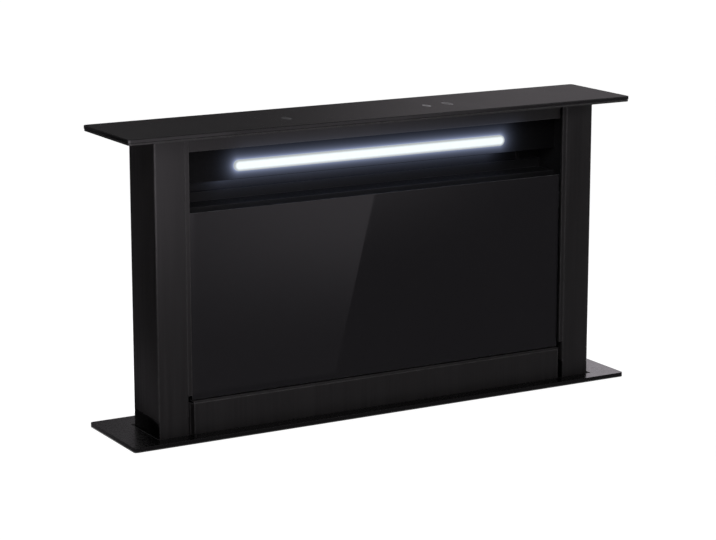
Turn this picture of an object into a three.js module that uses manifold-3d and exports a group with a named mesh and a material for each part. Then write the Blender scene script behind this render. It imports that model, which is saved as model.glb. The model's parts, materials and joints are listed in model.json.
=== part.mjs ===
// Telescopic worktop downdraft extractor, shown raised out of the worktop.
// Millimetres. X runs left to right, -Y is the front, Z is up, the floor is Z = 0.
// Everything is drawn about the middle of the lid (Y = 0 there) and moved back at the end,
// so that the origin ends up under the middle of the whole object.

import * as THREE from "three";
import { mergeVertices } from "three/addons/utils/BufferGeometryUtils.js";
import Module from "manifold-3d";

const wasm = await Module();
wasm.setup();

// ---------------------------------------------------------------- driving sizes

const WORKTOP_Z = 650; // worktop surface above the floor of the cabinet
const LIFT_TRAVEL = 305;
const CLOSED_GAP = 1.1; // under the lid when the column is down

const LID_W = 600;
const LID_D = 111.3;
const LID_T = 5.9; // glass and tray together
const LID_GLASS_T = 4;
const LID_CORNER_R = 3;
const LID_EDGE_BEVEL = 0.5;
const TRIM_T = 4.8;
const TRIM_STEP = 0.8; // how much thinner the trim is inside the worktop's cut-out
const TRIM_SEAT = 6.95; // width of the trim's rim on the worktop, front and back

const LID_OVERHANG = 36; // lid beyond the column at each side
const COLUMN_D = 60.2;
const COLUMN_SETBACK = 19.15; // column's front behind the lid's front edge
const COLUMN_TAIL = 115; // length that stays in the casing when raised
const UPRIGHT_W = 34;
const UPRIGHT_RETURN = 8;
const UPRIGHT_REAR_RETURN = 15;
const UPRIGHT_EDGE_R = 1.6;

const TOP_RAIL_H = 15.9; // under the lid
const SLOT_H = 62;
const BOTTOM_RAIL_TOP = 38.5; // above the trim's underside
const RAIL_LIP = 4.8; // folds at the top rail's lower edge
const RAIL_FLANGE = 8.4; // top rail's flange under the head plate
const BOTTOM_RAIL_GAP = 0.5; // how much shorter than the glass the bottom rail is at each end
const LEDGE_BEVEL = 2; // edge of the bottom rail
const LEDGE_SKIRT = 3; // bottom rail's ledge over its front sheet
const HOOK_H = 6; // behind the foot of the glass carrier

const INFILL_GAP = 5.5; // beside the rails and the glass
const INFILL_RECESS = 4.2; // behind the uprights' front faces
const GLASS_T = 4;
const GLASS_GAP = 1; // over the bottom rail

const LIGHT_LENGTH = 328;
const LIGHT_DROP = 37.65; // lens's axis under the lid
const LIGHT_HEIGHT = 11.5;
const LIGHT_DEPTH = 2.5;
const LIGHT_SETBACK = 22; // lens face behind the column's front
const HOUSING_DROP = 8; // housing's lower edge under the lens
const HOUSING_FOLD = 8;
const HOUSING_FLANGE = 10;
const LEDGE_H = 10;
const LEDGE_SETBACK = 7; // ledge's front face before the rear panel
const LEDGE_FLANGE = 8;
const SHELF_LIP = 10; // shelf's lip in front of the filters

const FILTER_T = 10;
const FILTER_FRAME = 9;
const FILTER_MESH_T = 4;
const FILTER_AIRWAY = 17; // clear way down between the glass and the filters
const FILTER_LIFT = 10; // rail under the filters above the bottom rail's top
const FILTER_GAP = 1; // between the two filters
const FILTER_SIDE_GAP = 12;
const CHANNEL_H = 7;

const CARRIER_INSET = 6; // glass carrier inside the glass's edge
const CARRIER_RIM = 14;
const CATCH_H = 18;
const CATCH_BITE = 10; // of a catch on the carrier
const CATCH_D = 8;

const TOUCH_W = 232;
const TOUCH_D = 16;
const TOUCH_BOX_H = 12;
const TOUCH_BOX_RIM = 4;
const TOUCH_BOX_BEHIND = 6;
const LID_SEAL_INSET = 4;
const LID_SEAL_W = 4;
const TOUCH_SETBACK = 46; // field's front edge behind the lid's front edge

const SHEET = 1.2; // covers, panels and casing
const FRAME_SHEET = 2; // posts, head plate and carriage
const FIT = 0.1; // between pieces that are seated on each other
const RUN = 0.3; // between sliding pieces
const BORE_CLEARANCE = 0.1; // radial, on shafts and pins

const SIDE_SPACE = 20; // between the column and the casing's outer side
const FRAME_H = 12; // frame round the slot, under the trim
const SLOT_CLEARANCE = 3; // slot in the trim round the column
const SEAL_CLEARANCE = 0.5;
const SEAL_H = 13.5;
const SEAL_SETBACK = 0.5; // seal's top under the trim's

const GUIDE_W = 22;
const GUIDE_GROOVE = 14;
const GUIDE_BASE = 3;
const GUIDE_BITE = 11; // how far a glide reaches into the groove
const GLIDE_H = 75;
const GLIDE_LIFT = 5; // above the column's lower end

const MODULE = 1.5; // of the racks and their pinions
const PINION_TEETH = 16;
const PINION_W = 10;
const RACK_W = 12;
const PINION_GAP = 2.2; // to the bearing
const RACK_BACK = 2.6; // rack's back to its tooth roots
const RACK_OVERRUN = 14; // rack beyond the pinion at both ends
const SHAFT_R = 4;
const SHAFT_LIFT = 18; // shaft above the column's lower end
const DRIVE_BAY_H = 50; // open back at the column's foot
const GEAR_MODULE = 1;
const SHAFT_GEAR_TEETH = 26;
const MOTOR_GEAR_TEETH = 16;
const GEAR_W = 8;
const GEAR_X = -56;
const GEAR_BEARING = 144; // direction from the shaft to the motor, degrees from +Y
const TOOTH_TOP = 0.8; // in modules
const TOOTH_ROOT = 1.15; // in modules
const PRESSURE_ANGLE = 20;
const BACKLASH = 0.25;
const MOTOR_R = 15;
const MOTOR_L = 66;
const MOTOR_FOOT = 14;
const MOTOR_NOSE_R = 9;
const MOTOR_EDGE = 3;
const MOTOR_SHAFT_R = 2.5;
const MOTOR_SHAFT_BITE = 14; // of the shaft in the motor
const CARRIAGE_RIM = 8;
const CARRIAGE_END = 14;
const CARRIAGE_SETBACK = 3; // behind the uprights' returns
const BEARING_W = 9;
const BEARING_H = 28;
const BEARING_BEFORE = 20; // seat on the post, in front of the shaft
const BEARING_BEHIND = 9;

const BLOWER_X = -25;
const BLOWER_Z = 160;
const BLOWER_W = 152;
const BLOWER_WALL = 2;
const SCROLL_R_MIN = 100;
const SCROLL_R_MAX = 148;
const SCROLL_TONGUE = 30; // degrees above the outlet side
const SCROLL_OUTLET = 165; // outlet's end beside the blower's axis
const INLET_R = 68;
const IMPELLER_R = 88;
const IMPELLER_W = 90;
const IMPELLER_INSET = 12; // from the inlet wall
const BLADES = 24;
const BLADE_T = 1.5;
const BLADE_DEPTH = 18;
const HUB_R = 46;
const STATOR_R = 40;
const MOTOR_FLANGE_R = 60;
const MOTOR_FLANGE_T = 3;
const MOTOR_CAP = 14;
const MOTOR_CAP_WALL = 10;
const MOTOR_CAP_EDGE = 4;
const HUB_DEPTH = 40.5; // of the impeller's hub round the motor
const HUB_WALL = 2;
const HUB_GAP = 4; // from the hub's end to the motor
const IMPELLER_SHAFT_R = 4;
const IMPELLER_SHAFT_L = 30;

const DUCT_R = 75;
const DUCT_WALL = 1.5;
const ADAPTER_L = 45;
const COLLAR_L = 80;
const FLAP_PIN_R = 2;
const FLAP_SETBACK = 5; // pin inside the collar's inner end
const FLAP_T = 1;
const FLAP_CLEARANCE = 0.7;
const SLEEVE_WALL = 1.2;
const SLEEVE_GAP = 1; // from the collar's axis
const SLEEVE_END = 8; // from the collar's wall

const CONTROL_W = 160;
const CONTROL_H = 150;
const CONTROL_D = 40;
const CONTROL_INSET = 34; // from the casing's side
const CONTROL_DROP = 95; // under the worktop
const CONTROL_WALL = 2;
const INLET_GLAND_DROP = 112.5; // under the electronics box's top
const INLET_GLAND_R = 9;
const INLET_GLAND_COLLAR = 5;
const INLET_GLAND_STEP = 2;
const INLET_GLAND_L = 16;

const BASE_Z = 32; // underside of the casing
const RAIL_INSET = 124; // base rail's middle from the casing's side
const RAIL_W = 24;
const RAIL_H = 16;
const RAIL_WALL = 2;
const FOOT_R = 16;
const FOOT_PAD_H = 4;
const FOOT_NUT_R = 7;
const FOOT_NUT_LOW = 7;
const FOOT_NUT_HIGH = 11;
const FOOT_STUD_R = 4;
const FOOT_INSET = 24;

// ---------------------------------------------------------------- derived places

const TRIM_TOP = WORKTOP_Z + TRIM_T;
const LID_BOTTOM = TRIM_TOP + LIFT_TRAVEL + CLOSED_GAP;
const LID_TOP = LID_BOTTOM + LID_T;
const TRAY_TOP = LID_TOP - LID_GLASS_T - FIT;
const HEAD_TOP = LID_BOTTOM - FIT;
const HEAD_BOTTOM = HEAD_TOP - FRAME_SHEET;
const COLUMN_BOTTOM = WORKTOP_Z - COLUMN_TAIL;

const COLUMN_FRONT = COLUMN_SETBACK - LID_D / 2;
const COLUMN_BACK = COLUMN_FRONT + COLUMN_D;
const COLUMN_MID = (COLUMN_FRONT + COLUMN_BACK) / 2;
const COLUMN_SIDE = LID_W / 2 - LID_OVERHANG;
const UPRIGHT_INNER = COLUMN_SIDE - UPRIGHT_W;

const POST_OUTER = COLUMN_SIDE - SHEET - FIT;
const POST_INNER = UPRIGHT_INNER + SHEET + FIT;
const POST_FRONT = COLUMN_FRONT + SHEET + FIT;
const POST_BACK = COLUMN_BACK - SHEET - FIT;
const BETWEEN_POSTS = POST_INNER - FIT;

const INFILL_SIDE = UPRIGHT_INNER - INFILL_GAP;
const INFILL_FRONT = COLUMN_FRONT + INFILL_RECESS;
const RAIL_TOP = WORKTOP_Z + BOTTOM_RAIL_TOP;
const GLASS_BOTTOM = RAIL_TOP + GLASS_GAP;
const SLOT_TOP = LID_BOTTOM - TOP_RAIL_H;
const GLASS_TOP = SLOT_TOP - SLOT_H;
const GLASS_BACK = INFILL_FRONT + GLASS_T;
const CARRIER_FRONT = GLASS_BACK + FIT;
const CARRIER_BACK = CARRIER_FRONT + SHEET;

const FILTER_FRONT = CARRIER_BACK + FILTER_AIRWAY;
const FILTER_BACK = FILTER_FRONT + FILTER_T;
const FILTER_BOTTOM = RAIL_TOP + FILTER_LIFT + SHEET + FIT;
const SHELF_TOP = GLASS_TOP + SHEET;

const LIGHT_Z = LID_BOTTOM - LIGHT_DROP;
const LENS_FRONT = COLUMN_FRONT + LIGHT_SETBACK;
const HOUSING_FRONT = LENS_FRONT + LIGHT_DEPTH + FIT;

const CASING_SIDE = COLUMN_SIDE + SIDE_SPACE;
const CASING_BACK = LID_D / 2 - TRIM_SEAT;
const CASING_FRONT = -CASING_BACK;
const FRAME_TOP = WORKTOP_Z + TRIM_STEP - FIT;
const CASING_TOP = FRAME_TOP - FRAME_H - FIT;
const CASING_FLOOR = BASE_Z + SHEET + FIT;

const PINION_R = (MODULE * PINION_TEETH) / 2;
const RACK_X = BETWEEN_POSTS - BEARING_W - PINION_GAP - PINION_W / 2;
const RACK_BACK_Y = CASING_BACK - SHEET - FIT;
const RACK_ROOT_Y = RACK_BACK_Y - RACK_BACK;
const RACK_PITCH_Y = RACK_ROOT_Y - MODULE * TOOTH_ROOT;
const SHAFT_Y = RACK_PITCH_Y - PINION_R;
const SHAFT_Z = COLUMN_BOTTOM + SHAFT_LIFT;
const SHAFT_GEAR_R = (GEAR_MODULE * SHAFT_GEAR_TEETH) / 2;
const MOTOR_GEAR_R = (GEAR_MODULE * MOTOR_GEAR_TEETH) / 2;
const MOTOR_ANGLE = THREE.MathUtils.degToRad(GEAR_BEARING);
const MOTOR_Y = SHAFT_Y + (SHAFT_GEAR_R + MOTOR_GEAR_R) * Math.cos(MOTOR_ANGLE);
const MOTOR_Z = SHAFT_Z + (SHAFT_GEAR_R + MOTOR_GEAR_R) * Math.sin(MOTOR_ANGLE);

const BLOWER_BACK = CASING_FRONT - FIT;
const BLOWER_FRONT = BLOWER_BACK - BLOWER_W;
const BLOWER_MID = (BLOWER_BACK + BLOWER_FRONT) / 2;
const OUTLET_X = BLOWER_X + SCROLL_OUTLET;
const OUTLET_LOW = BLOWER_Z + SCROLL_R_MIN * Math.sin(THREE.MathUtils.degToRad(SCROLL_TONGUE));
const OUTLET_HIGH = BLOWER_Z + SCROLL_R_MAX;
const DUCT_Z = (OUTLET_LOW + OUTLET_HIGH) / 2;
const COLLAR_START = OUTLET_X + FIT + ADAPTER_L;
const FLAP_X = COLLAR_START + FLAP_SETBACK;
const WHOLE_FRONT = BLOWER_FRONT - FIT - MOTOR_CAP;
const SHIFT_Y = -(WHOLE_FRONT + LID_D / 2) / 2;

// ---------------------------------------------------------------- finishes

function finish(color, roughness, metalness) {
  return { color, roughness, metalness };
}

const DARK_GLASS = finish(0x242325, 0.18, 0.0);
const DARK_STEEL = finish(0x2e2c2d, 0.42, 0.7);
const BLACK_STEEL = finish(0x161516, 0.55, 0.3);
const ZINC = finish(0x9a9da0, 0.45, 0.8);
const BRIGHT_STEEL = finish(0xb5b7b9, 0.3, 0.9);
const ALUMINIUM = finish(0xb9bbbd, 0.4, 0.9);
const BLACK_PLASTIC = finish(0x1a1a1c, 0.6, 0.0);
const WHITE_PLASTIC = finish(0xd9dad6, 0.5, 0.0);
const RUBBER = finish(0x101010, 0.85, 0.0);
const LIGHT = finish(0xf4fbff, 0.3, 0.0);

// ---------------------------------------------------------------- shape helpers

// A closed position-only mesh that faces outward.
function closed(source) {
  let geometry = source.clone();
  geometry.deleteAttribute("normal");
  geometry.deleteAttribute("uv");
  geometry = mergeVertices(geometry, 1e-4);
  const place = geometry.getAttribute("position");
  const index = geometry.getIndex().array;
  const kept = [];
  const [a, b, c] = [new THREE.Vector3(), new THREE.Vector3(), new THREE.Vector3()];
  let volume = 0;
  for (let i = 0; i < index.length; i += 3) {
    const [p, q, r] = index.slice(i, i + 3);
    if (p === q || q === r || r === p) continue;
    kept.push([p, q, r]);
    a.fromBufferAttribute(place, p);
    b.fromBufferAttribute(place, q);
    c.fromBufferAttribute(place, r);
    volume += a.dot(b.cross(c));
  }
  const faces = volume < 0 ? kept.map(([p, q, r]) => [p, r, q]) : kept;
  geometry.setIndex(faces.flat());
  return geometry;
}

function toSolid(source) {
  const geometry = closed(source);
  const mesh = new wasm.Mesh({
    numProp: 3,
    vertProperties: Float32Array.from(geometry.getAttribute("position").array),
    triVerts: Uint32Array.from(geometry.getIndex().array),
  });
  return new wasm.Manifold(mesh);
}

function fromSolid(solid) {
  const mesh = solid.getMesh();
  const geometry = new THREE.BufferGeometry();
  geometry.setAttribute("position", new THREE.BufferAttribute(mesh.vertProperties, 3));
  geometry.setIndex(new THREE.BufferAttribute(mesh.triVerts, 1));
  return geometry;
}

function join(...pieces) {
  return fromSolid(pieces.map(toSolid).reduce((whole, piece) => whole.add(piece)));
}

function cut(body, ...tools) {
  return fromSolid(tools.map(toSolid).reduce((rest, tool) => rest.subtract(tool), toSolid(body)));
}

// Turns local axes (u, v, depth) into the named direction of extrusion.
const AXES = {
  x: [new THREE.Vector3(0, 1, 0), new THREE.Vector3(0, 0, 1), new THREE.Vector3(1, 0, 0)],
  y: [new THREE.Vector3(1, 0, 0), new THREE.Vector3(0, 0, 1), new THREE.Vector3(0, -1, 0)],
  z: [new THREE.Vector3(1, 0, 0), new THREE.Vector3(0, 1, 0), new THREE.Vector3(0, 0, 1)],
};

function shapeOf(outline, holes = []) {
  const shape = outline instanceof THREE.Shape ? outline : new THREE.Shape(toPoints(outline));
  shape.holes.push(...holes.map((hole) => new THREE.Path(toPoints(hole))));
  return shape;
}

function toPoints(list) {
  return list.map(([u, v]) => new THREE.Vector2(u, v));
}

// Extrudes an outline from low to high along x (outline in Y, Z), y (X, Z) or z (X, Y).
function prism(axis, outline, low, high, holes = []) {
  const depth = high - low;
  const start = axis === "y" ? -high : low;
  const options = { depth, bevelEnabled: false, curveSegments: 6 };
  const geometry = new THREE.ExtrudeGeometry(shapeOf(outline, holes), options);
  geometry.translate(0, 0, start);
  return geometry.applyMatrix4(new THREE.Matrix4().makeBasis(...AXES[axis]));
}

function box(x0, x1, y0, y1, z0, z1) {
  const geometry = new THREE.BoxGeometry(x1 - x0, y1 - y0, z1 - z0);
  return geometry.translate((x0 + x1) / 2, (y0 + y1) / 2, (z0 + z1) / 2);
}

function rectangle(u0, u1, v0, v1) {
  return [[u0, v0], [u1, v0], [u1, v1], [u0, v1]];
}

// Outline with each corner in turn rounded by its radius.
function rounded(outline, radii, steps = 3) {
  const points = [];
  outline.forEach(([u, v], i) => {
    const radius = Array.isArray(radii) ? radii[i] : radii;
    if (!radius) {
      points.push([u, v]);
      return;
    }
    const before = new THREE.Vector2(...outline.at(i - 1)).sub(new THREE.Vector2(u, v)).normalize();
    const after = new THREE.Vector2(...outline[(i + 1) % outline.length]);
    after.sub(new THREE.Vector2(u, v)).normalize();
    for (let k = 0; k <= steps; k += 1) {
      const turn = (k / steps) * (Math.PI / 2);
      const back = radius * (1 - Math.sin(turn));
      const on = radius * (1 - Math.cos(turn));
      points.push([u + before.x * back + after.x * on, v + before.y * back + after.y * on]);
    }
  });
  return points;
}

function mirrored(outline) {
  return outline.map(([u, v]) => [-u, v]).reverse();
}

function circle(u, v, radius, sides = 32) {
  return Array.from({ length: sides }, (_, i) => {
    const angle = (i / sides) * 2 * Math.PI;
    return [u + radius * Math.cos(angle), v + radius * Math.sin(angle)];
  });
}

// Radius of a many-sided bore whose flats clear a shaft.
function boreRadius(shaftRadius, sides) {
  return (shaftRadius + BORE_CLEARANCE) / Math.cos(Math.PI / sides);
}

// Turned piece: profile points are [radius, height along the axis], closed by the loop itself.
function turned(axis, centre, profile, sides = 32) {
  const loop = [...profile, profile[0]];
  const geometry = new THREE.LatheGeometry(toPoints(loop), sides);
  if (axis === "x") geometry.rotateZ(-Math.PI / 2);
  if (axis === "z") geometry.rotateX(Math.PI / 2);
  return geometry.translate(...centre);
}

// Involute gear outline with a tooth on the +u side, turned by phase.
function gearOutline(module, teeth, centre, phase) {
  const pitch = (module * teeth) / 2;
  const pressure = THREE.MathUtils.degToRad(PRESSURE_ANGLE);
  const base = pitch * Math.cos(pressure);
  const root = pitch - TOOTH_ROOT * module;
  const tip = pitch + TOOTH_TOP * module;
  const involute = (angle) => Math.tan(angle) - angle;
  const half = (Math.PI * pitch) / teeth / 2 - BACKLASH / 4;
  const flankAt = (radius) => {
    const angle = Math.acos(Math.min(1, base / radius));
    return half / pitch + involute(pressure) - involute(angle);
  };
  const start = Math.max(base, root);
  const radii = [start, (start + 2 * pitch) / 3, (pitch + tip) / 2, tip];
  const flank = [[root, flankAt(start)], ...radii.map((radius) => [radius, flankAt(radius)])];
  if (start === root) flank.shift();
  const tooth = [...flank.map(([radius, angle]) => [radius, -angle])];
  tooth.push(...flank.toReversed());
  const points = [];
  for (let k = 0; k < teeth; k += 1) {
    const turn = phase + (k / teeth) * 2 * Math.PI;
    for (const [radius, angle] of tooth) {
      const at = turn + angle;
      points.push([centre[0] + radius * Math.cos(at), centre[1] + radius * Math.sin(at)]);
    }
  }
  return points;
}

// ---------------------------------------------------------------- scene graph

const casing = new THREE.Group();
const column = new THREE.Group();
const lift = new THREE.Group();
const blower = new THREE.Group();

function add(group, name, geometry, look) {
  const mesh = new THREE.Mesh(closed(geometry), new THREE.MeshStandardMaterial(look));
  mesh.name = name;
  group.add(mesh);
}

const SIDES = [["left", -1], ["right", 1]];

// Box between two distances from the middle, on the given side.
function sideBox(side, near, far, y0, y1, z0, z1) {
  const [x0, x1] = side < 0 ? [-far, -near] : [near, far];
  return box(x0, x1, y0, y1, z0, z1);
}

// ---------------------------------------------------------------- lid

function plateOutline(inset) {
  const [w, d] = [LID_W / 2 - inset, LID_D / 2 - inset];
  return rounded(rectangle(-w, w, -d, d), LID_CORNER_R);
}

function addLid() {
  const bevel = LID_EDGE_BEVEL;
  const pane = new THREE.ExtrudeGeometry(shapeOf(plateOutline(bevel)), {
    depth: LID_GLASS_T - 2 * bevel,
    bevelThickness: bevel,
    bevelSize: bevel,
    bevelSegments: 1,
  });
  add(column, "lid_glass", pane.translate(0, 0, LID_TOP - LID_GLASS_T + bevel), DARK_GLASS);

  const touchFront = TOUCH_SETBACK - LID_D / 2;
  const touchBack = touchFront + TOUCH_D;
  const half = TOUCH_W / 2;
  const field = rectangle(-half - FIT, half + FIT, touchFront - FIT, touchBack + FIT);
  add(column, "lid_tray", prism("z", plateOutline(bevel), LID_BOTTOM, TRAY_TOP, [field]), DARK_STEEL);

  const sealOuter = plateOutline(bevel + LID_SEAL_INSET);
  const sealInner = plateOutline(bevel + LID_SEAL_INSET + LID_SEAL_W);
  const sealTop = LID_BOTTOM - FIT;
  const sealBottom = TRIM_TOP + LIFT_TRAVEL + CLOSED_GAP / 2;
  add(column, "lid_seal", prism("z", sealOuter, sealBottom, sealTop, [sealInner]), RUBBER);

  const [front, back] = [COLUMN_FRONT + UPRIGHT_RETURN + FIT, POST_BACK];
  const head = rectangle(-POST_OUTER, POST_OUTER, front, back);
  add(column, "top_plate", prism("z", head, HEAD_BOTTOM, HEAD_TOP, [field]), ZINC);

  const boxTop = HEAD_BOTTOM - FIT;
  const boxLow = boxTop - TOUCH_BOX_H;
  const boxBack = touchBack + TOUCH_BOX_BEHIND;
  const sensor = box(-half, half, touchFront, touchBack, boxLow, TRAY_TOP);
  const body = box(-half - TOUCH_BOX_RIM, half + TOUCH_BOX_RIM, touchFront, boxBack, boxLow, boxTop);
  add(column, "touch_module", join(sensor, body), BLACK_PLASTIC);
}

// ---------------------------------------------------------------- column frame

function addUprights() {
  const [inner, outer, front, back] = [UPRIGHT_INNER, COLUMN_SIDE, COLUMN_FRONT, COLUMN_BACK];
  const rearEdge = outer - UPRIGHT_REAR_RETURN;
  const returnBack = front + UPRIGHT_RETURN;
  const cover = [
    [inner, front],
    [outer, front],
    [outer, back],
    [rearEdge, back],
    [rearEdge, back - SHEET],
    [outer - SHEET, back - SHEET],
    [outer - SHEET, front + SHEET],
    [inner + SHEET, front + SHEET],
    [inner + SHEET, returnBack],
    [inner, returnBack],
  ];
  const radii = cover.map((_, i) => (i < 3 ? UPRIGHT_EDGE_R : 0));
  const outline = rounded(cover, radii);
  const post = rectangle(POST_INNER, POST_OUTER, POST_FRONT, POST_BACK);
  const wall = FRAME_SHEET;
  const hollow = rectangle(POST_INNER + wall, POST_OUTER - wall, POST_FRONT + wall, POST_BACK - wall);
  const postTop = HEAD_BOTTOM - FIT;
  for (const [label, side] of SIDES) {
    const shown = side > 0 ? outline : mirrored(outline);
    const [tube, bore] = side > 0 ? [post, hollow] : [mirrored(post), mirrored(hollow)];
    add(column, `upright_${label}`, prism("z", shown, COLUMN_BOTTOM, HEAD_TOP), DARK_STEEL);
    add(column, `post_${label}`, prism("z", tube, COLUMN_BOTTOM, postTop, [bore]), BLACK_STEEL);
  }
}

function addRails() {
  const flangeTop = HEAD_BOTTOM - FIT;
  const inside = INFILL_FRONT + SHEET;
  const railProfile = [
    [INFILL_FRONT, SLOT_TOP],
    [INFILL_FRONT + RAIL_LIP, SLOT_TOP],
    [INFILL_FRONT + RAIL_LIP, SLOT_TOP + SHEET],
    [inside, SLOT_TOP + SHEET],
    [inside, flangeTop - SHEET],
    [INFILL_FRONT + RAIL_FLANGE, flangeTop - SHEET],
    [INFILL_FRONT + RAIL_FLANGE, flangeTop],
    [inside, flangeTop],
    [inside, HEAD_TOP],
    [INFILL_FRONT, HEAD_TOP],
  ];
  add(column, "top_rail", prism("x", railProfile, -INFILL_SIDE, INFILL_SIDE), DARK_STEEL);

  const wingFront = COLUMN_FRONT + UPRIGHT_RETURN + SHEET;
  const wingBack = wingFront + SHEET;
  const side = INFILL_SIDE - BOTTOM_RAIL_GAP;
  const hat = [
    [-side, COLUMN_FRONT],
    [side, COLUMN_FRONT],
    [side, wingFront],
    [BETWEEN_POSTS, wingFront],
    [BETWEEN_POSTS, wingBack],
    [side - SHEET, wingBack],
    [side - SHEET, COLUMN_FRONT + SHEET],
    [-side + SHEET, COLUMN_FRONT + SHEET],
    [-side + SHEET, wingBack],
    [-BETWEEN_POSTS, wingBack],
    [-BETWEEN_POSTS, wingFront],
    [-side, wingFront],
  ];
  const hook = CARRIER_BACK + FIT;
  const ledge = [
    [COLUMN_FRONT, RAIL_TOP - LEDGE_BEVEL],
    [COLUMN_FRONT + LEDGE_BEVEL, RAIL_TOP],
    [hook, RAIL_TOP],
    [hook, RAIL_TOP + HOOK_H],
    [hook + SHEET, RAIL_TOP + HOOK_H],
    [hook + SHEET, RAIL_TOP - SHEET],
    [COLUMN_FRONT + SHEET + LEDGE_BEVEL, RAIL_TOP - SHEET],
    [COLUMN_FRONT + SHEET, RAIL_TOP - LEDGE_SKIRT],
    [COLUMN_FRONT, RAIL_TOP - LEDGE_SKIRT],
  ];
  const front = prism("z", hat, COLUMN_BOTTOM, RAIL_TOP - LEDGE_SKIRT);
  add(column, "lower_front", join(front, prism("x", ledge, -side, side)), DARK_STEEL);

  const rearSide = COLUMN_SIDE - UPRIGHT_REAR_RETURN - FIT;
  const rearBottom = COLUMN_BOTTOM + DRIVE_BAY_H;
  const rear = box(-rearSide, rearSide, COLUMN_BACK - SHEET, COLUMN_BACK, rearBottom, HEAD_TOP);
  add(column, "rear_panel", rear, DARK_STEEL);
}

// ---------------------------------------------------------------- suction slot and light

function addSlot() {
  const head = HEAD_BOTTOM - FIT;
  const low = LIGHT_Z - LIGHT_HEIGHT / 2 - HOUSING_DROP;
  const housing = [
    [HOUSING_FRONT, low],
    [HOUSING_FRONT + HOUSING_FOLD, low],
    [HOUSING_FRONT + HOUSING_FOLD, low + SHEET],
    [HOUSING_FRONT + SHEET, low + SHEET],
    [HOUSING_FRONT + SHEET, head],
    [HOUSING_FRONT - HOUSING_FLANGE, head],
    [HOUSING_FRONT - HOUSING_FLANGE, head - SHEET],
    [HOUSING_FRONT, head - SHEET],
  ];
  const plate = prism("x", housing, -BETWEEN_POSTS, BETWEEN_POSTS);
  add(column, "light_housing", plate, BLACK_STEEL);

  const radius = LIGHT_HEIGHT / 2;
  const straight = LIGHT_LENGTH / 2 - radius;
  const lens = new THREE.Shape();
  lens.moveTo(-straight, LIGHT_Z - radius);
  lens.lineTo(straight, LIGHT_Z - radius);
  lens.absarc(straight, LIGHT_Z, radius, -Math.PI / 2, Math.PI / 2, false);
  lens.lineTo(-straight, LIGHT_Z + radius);
  lens.absarc(-straight, LIGHT_Z, radius, Math.PI / 2, -Math.PI / 2 + 2 * Math.PI, false);
  add(column, "led_lens", prism("y", lens, LENS_FRONT, LENS_FRONT + LIGHT_DEPTH), LIGHT);

  const rear = COLUMN_BACK - SHEET - FIT;
  const ledgeFront = COLUMN_BACK - LEDGE_SETBACK;
  const ledgeTop = SHELF_TOP + LEDGE_H;
  const lipBottom = GLASS_TOP - SHELF_LIP;
  const shelf = [
    [FILTER_FRONT - SHEET - FIT, lipBottom],
    [FILTER_FRONT - FIT, lipBottom],
    [FILTER_FRONT - FIT, GLASS_TOP],
    [ledgeFront + SHEET, GLASS_TOP],
    [ledgeFront + SHEET, ledgeTop - SHEET],
    [rear, ledgeTop - SHEET],
    [rear, ledgeTop + LEDGE_FLANGE],
    [rear - SHEET, ledgeTop + LEDGE_FLANGE],
    [rear - SHEET, ledgeTop],
    [ledgeFront, ledgeTop],
    [ledgeFront, SHELF_TOP],
    [FILTER_FRONT - SHEET - FIT, SHELF_TOP],
  ];
  add(column, "filter_head", prism("x", shelf, -BETWEEN_POSTS, BETWEEN_POSTS), BLACK_STEEL);
}

// ---------------------------------------------------------------- front glass and filters

function addFront() {
  const glass = box(-INFILL_SIDE, INFILL_SIDE, INFILL_FRONT, GLASS_BACK, GLASS_BOTTOM, GLASS_TOP);
  add(column, "glass_panel", glass, DARK_GLASS);

  const rim = CARRIER_RIM;
  const [side, top] = [INFILL_SIDE - CARRIER_INSET, GLASS_TOP - CARRIER_INSET];
  const bottom = RAIL_TOP + FIT;
  const window = rectangle(-side + rim, side - rim, bottom + rim, top - rim);
  const ring = prism("y", rectangle(-side, side, bottom, top), CARRIER_FRONT, CARRIER_BACK, [window]);
  add(column, "glass_carrier", ring, BLACK_STEEL);

  const catchTop = top - rim;
  for (const [label, sign] of SIDES) {
    const [y0, y1] = [CARRIER_BACK + FIT, CARRIER_BACK + FIT + CATCH_D];
    const [near, low] = [side - CATCH_BITE, catchTop - CATCH_H];
    const block = sideBox(sign, near, BETWEEN_POSTS, y0, y1, low, catchTop);
    add(column, `catch_${label}`, block, BLACK_PLASTIC);
  }
}

function addFilters() {
  const rail = RAIL_TOP + FILTER_LIFT;
  const [front, back] = [FILTER_FRONT - FIT, FILTER_BACK + FIT];
  const channel = [
    [front - SHEET, rail],
    [back + SHEET, rail],
    [back + SHEET, rail + CHANNEL_H],
    [back, rail + CHANNEL_H],
    [back, rail + SHEET],
    [front, rail + SHEET],
    [front, rail + CHANNEL_H],
    [front - SHEET, rail + CHANNEL_H],
  ];
  add(column, "filter_rail", prism("x", channel, -BETWEEN_POSTS, BETWEEN_POSTS), ZINC);

  const top = GLASS_TOP - FIT;
  const [near, far] = [FILTER_GAP / 2, BETWEEN_POSTS - FILTER_SIDE_GAP];
  for (const [label, sign] of SIDES) {
    const [x0, x1] = sign < 0 ? [-far, -near] : [near, far];
    const f = FILTER_FRAME;
    const window = rectangle(x0 + f, x1 - f, FILTER_BOTTOM + f, top - f);
    const frame = prism("y", rectangle(x0, x1, FILTER_BOTTOM, top), FILTER_FRONT, FILTER_BACK, [window]);
    const middle = (FILTER_FRONT + FILTER_BACK) / 2;
    const [y0, y1] = [middle - FILTER_MESH_T / 2, middle + FILTER_MESH_T / 2];
    const mesh = box(x0 + f - 1, x1 - f + 1, y0, y1, FILTER_BOTTOM + f - 1, top - f + 1);
    add(column, `filter_${label}`, join(frame, mesh), ALUMINIUM);
  }
}

// ---------------------------------------------------------------- carriage and lift drive

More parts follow.
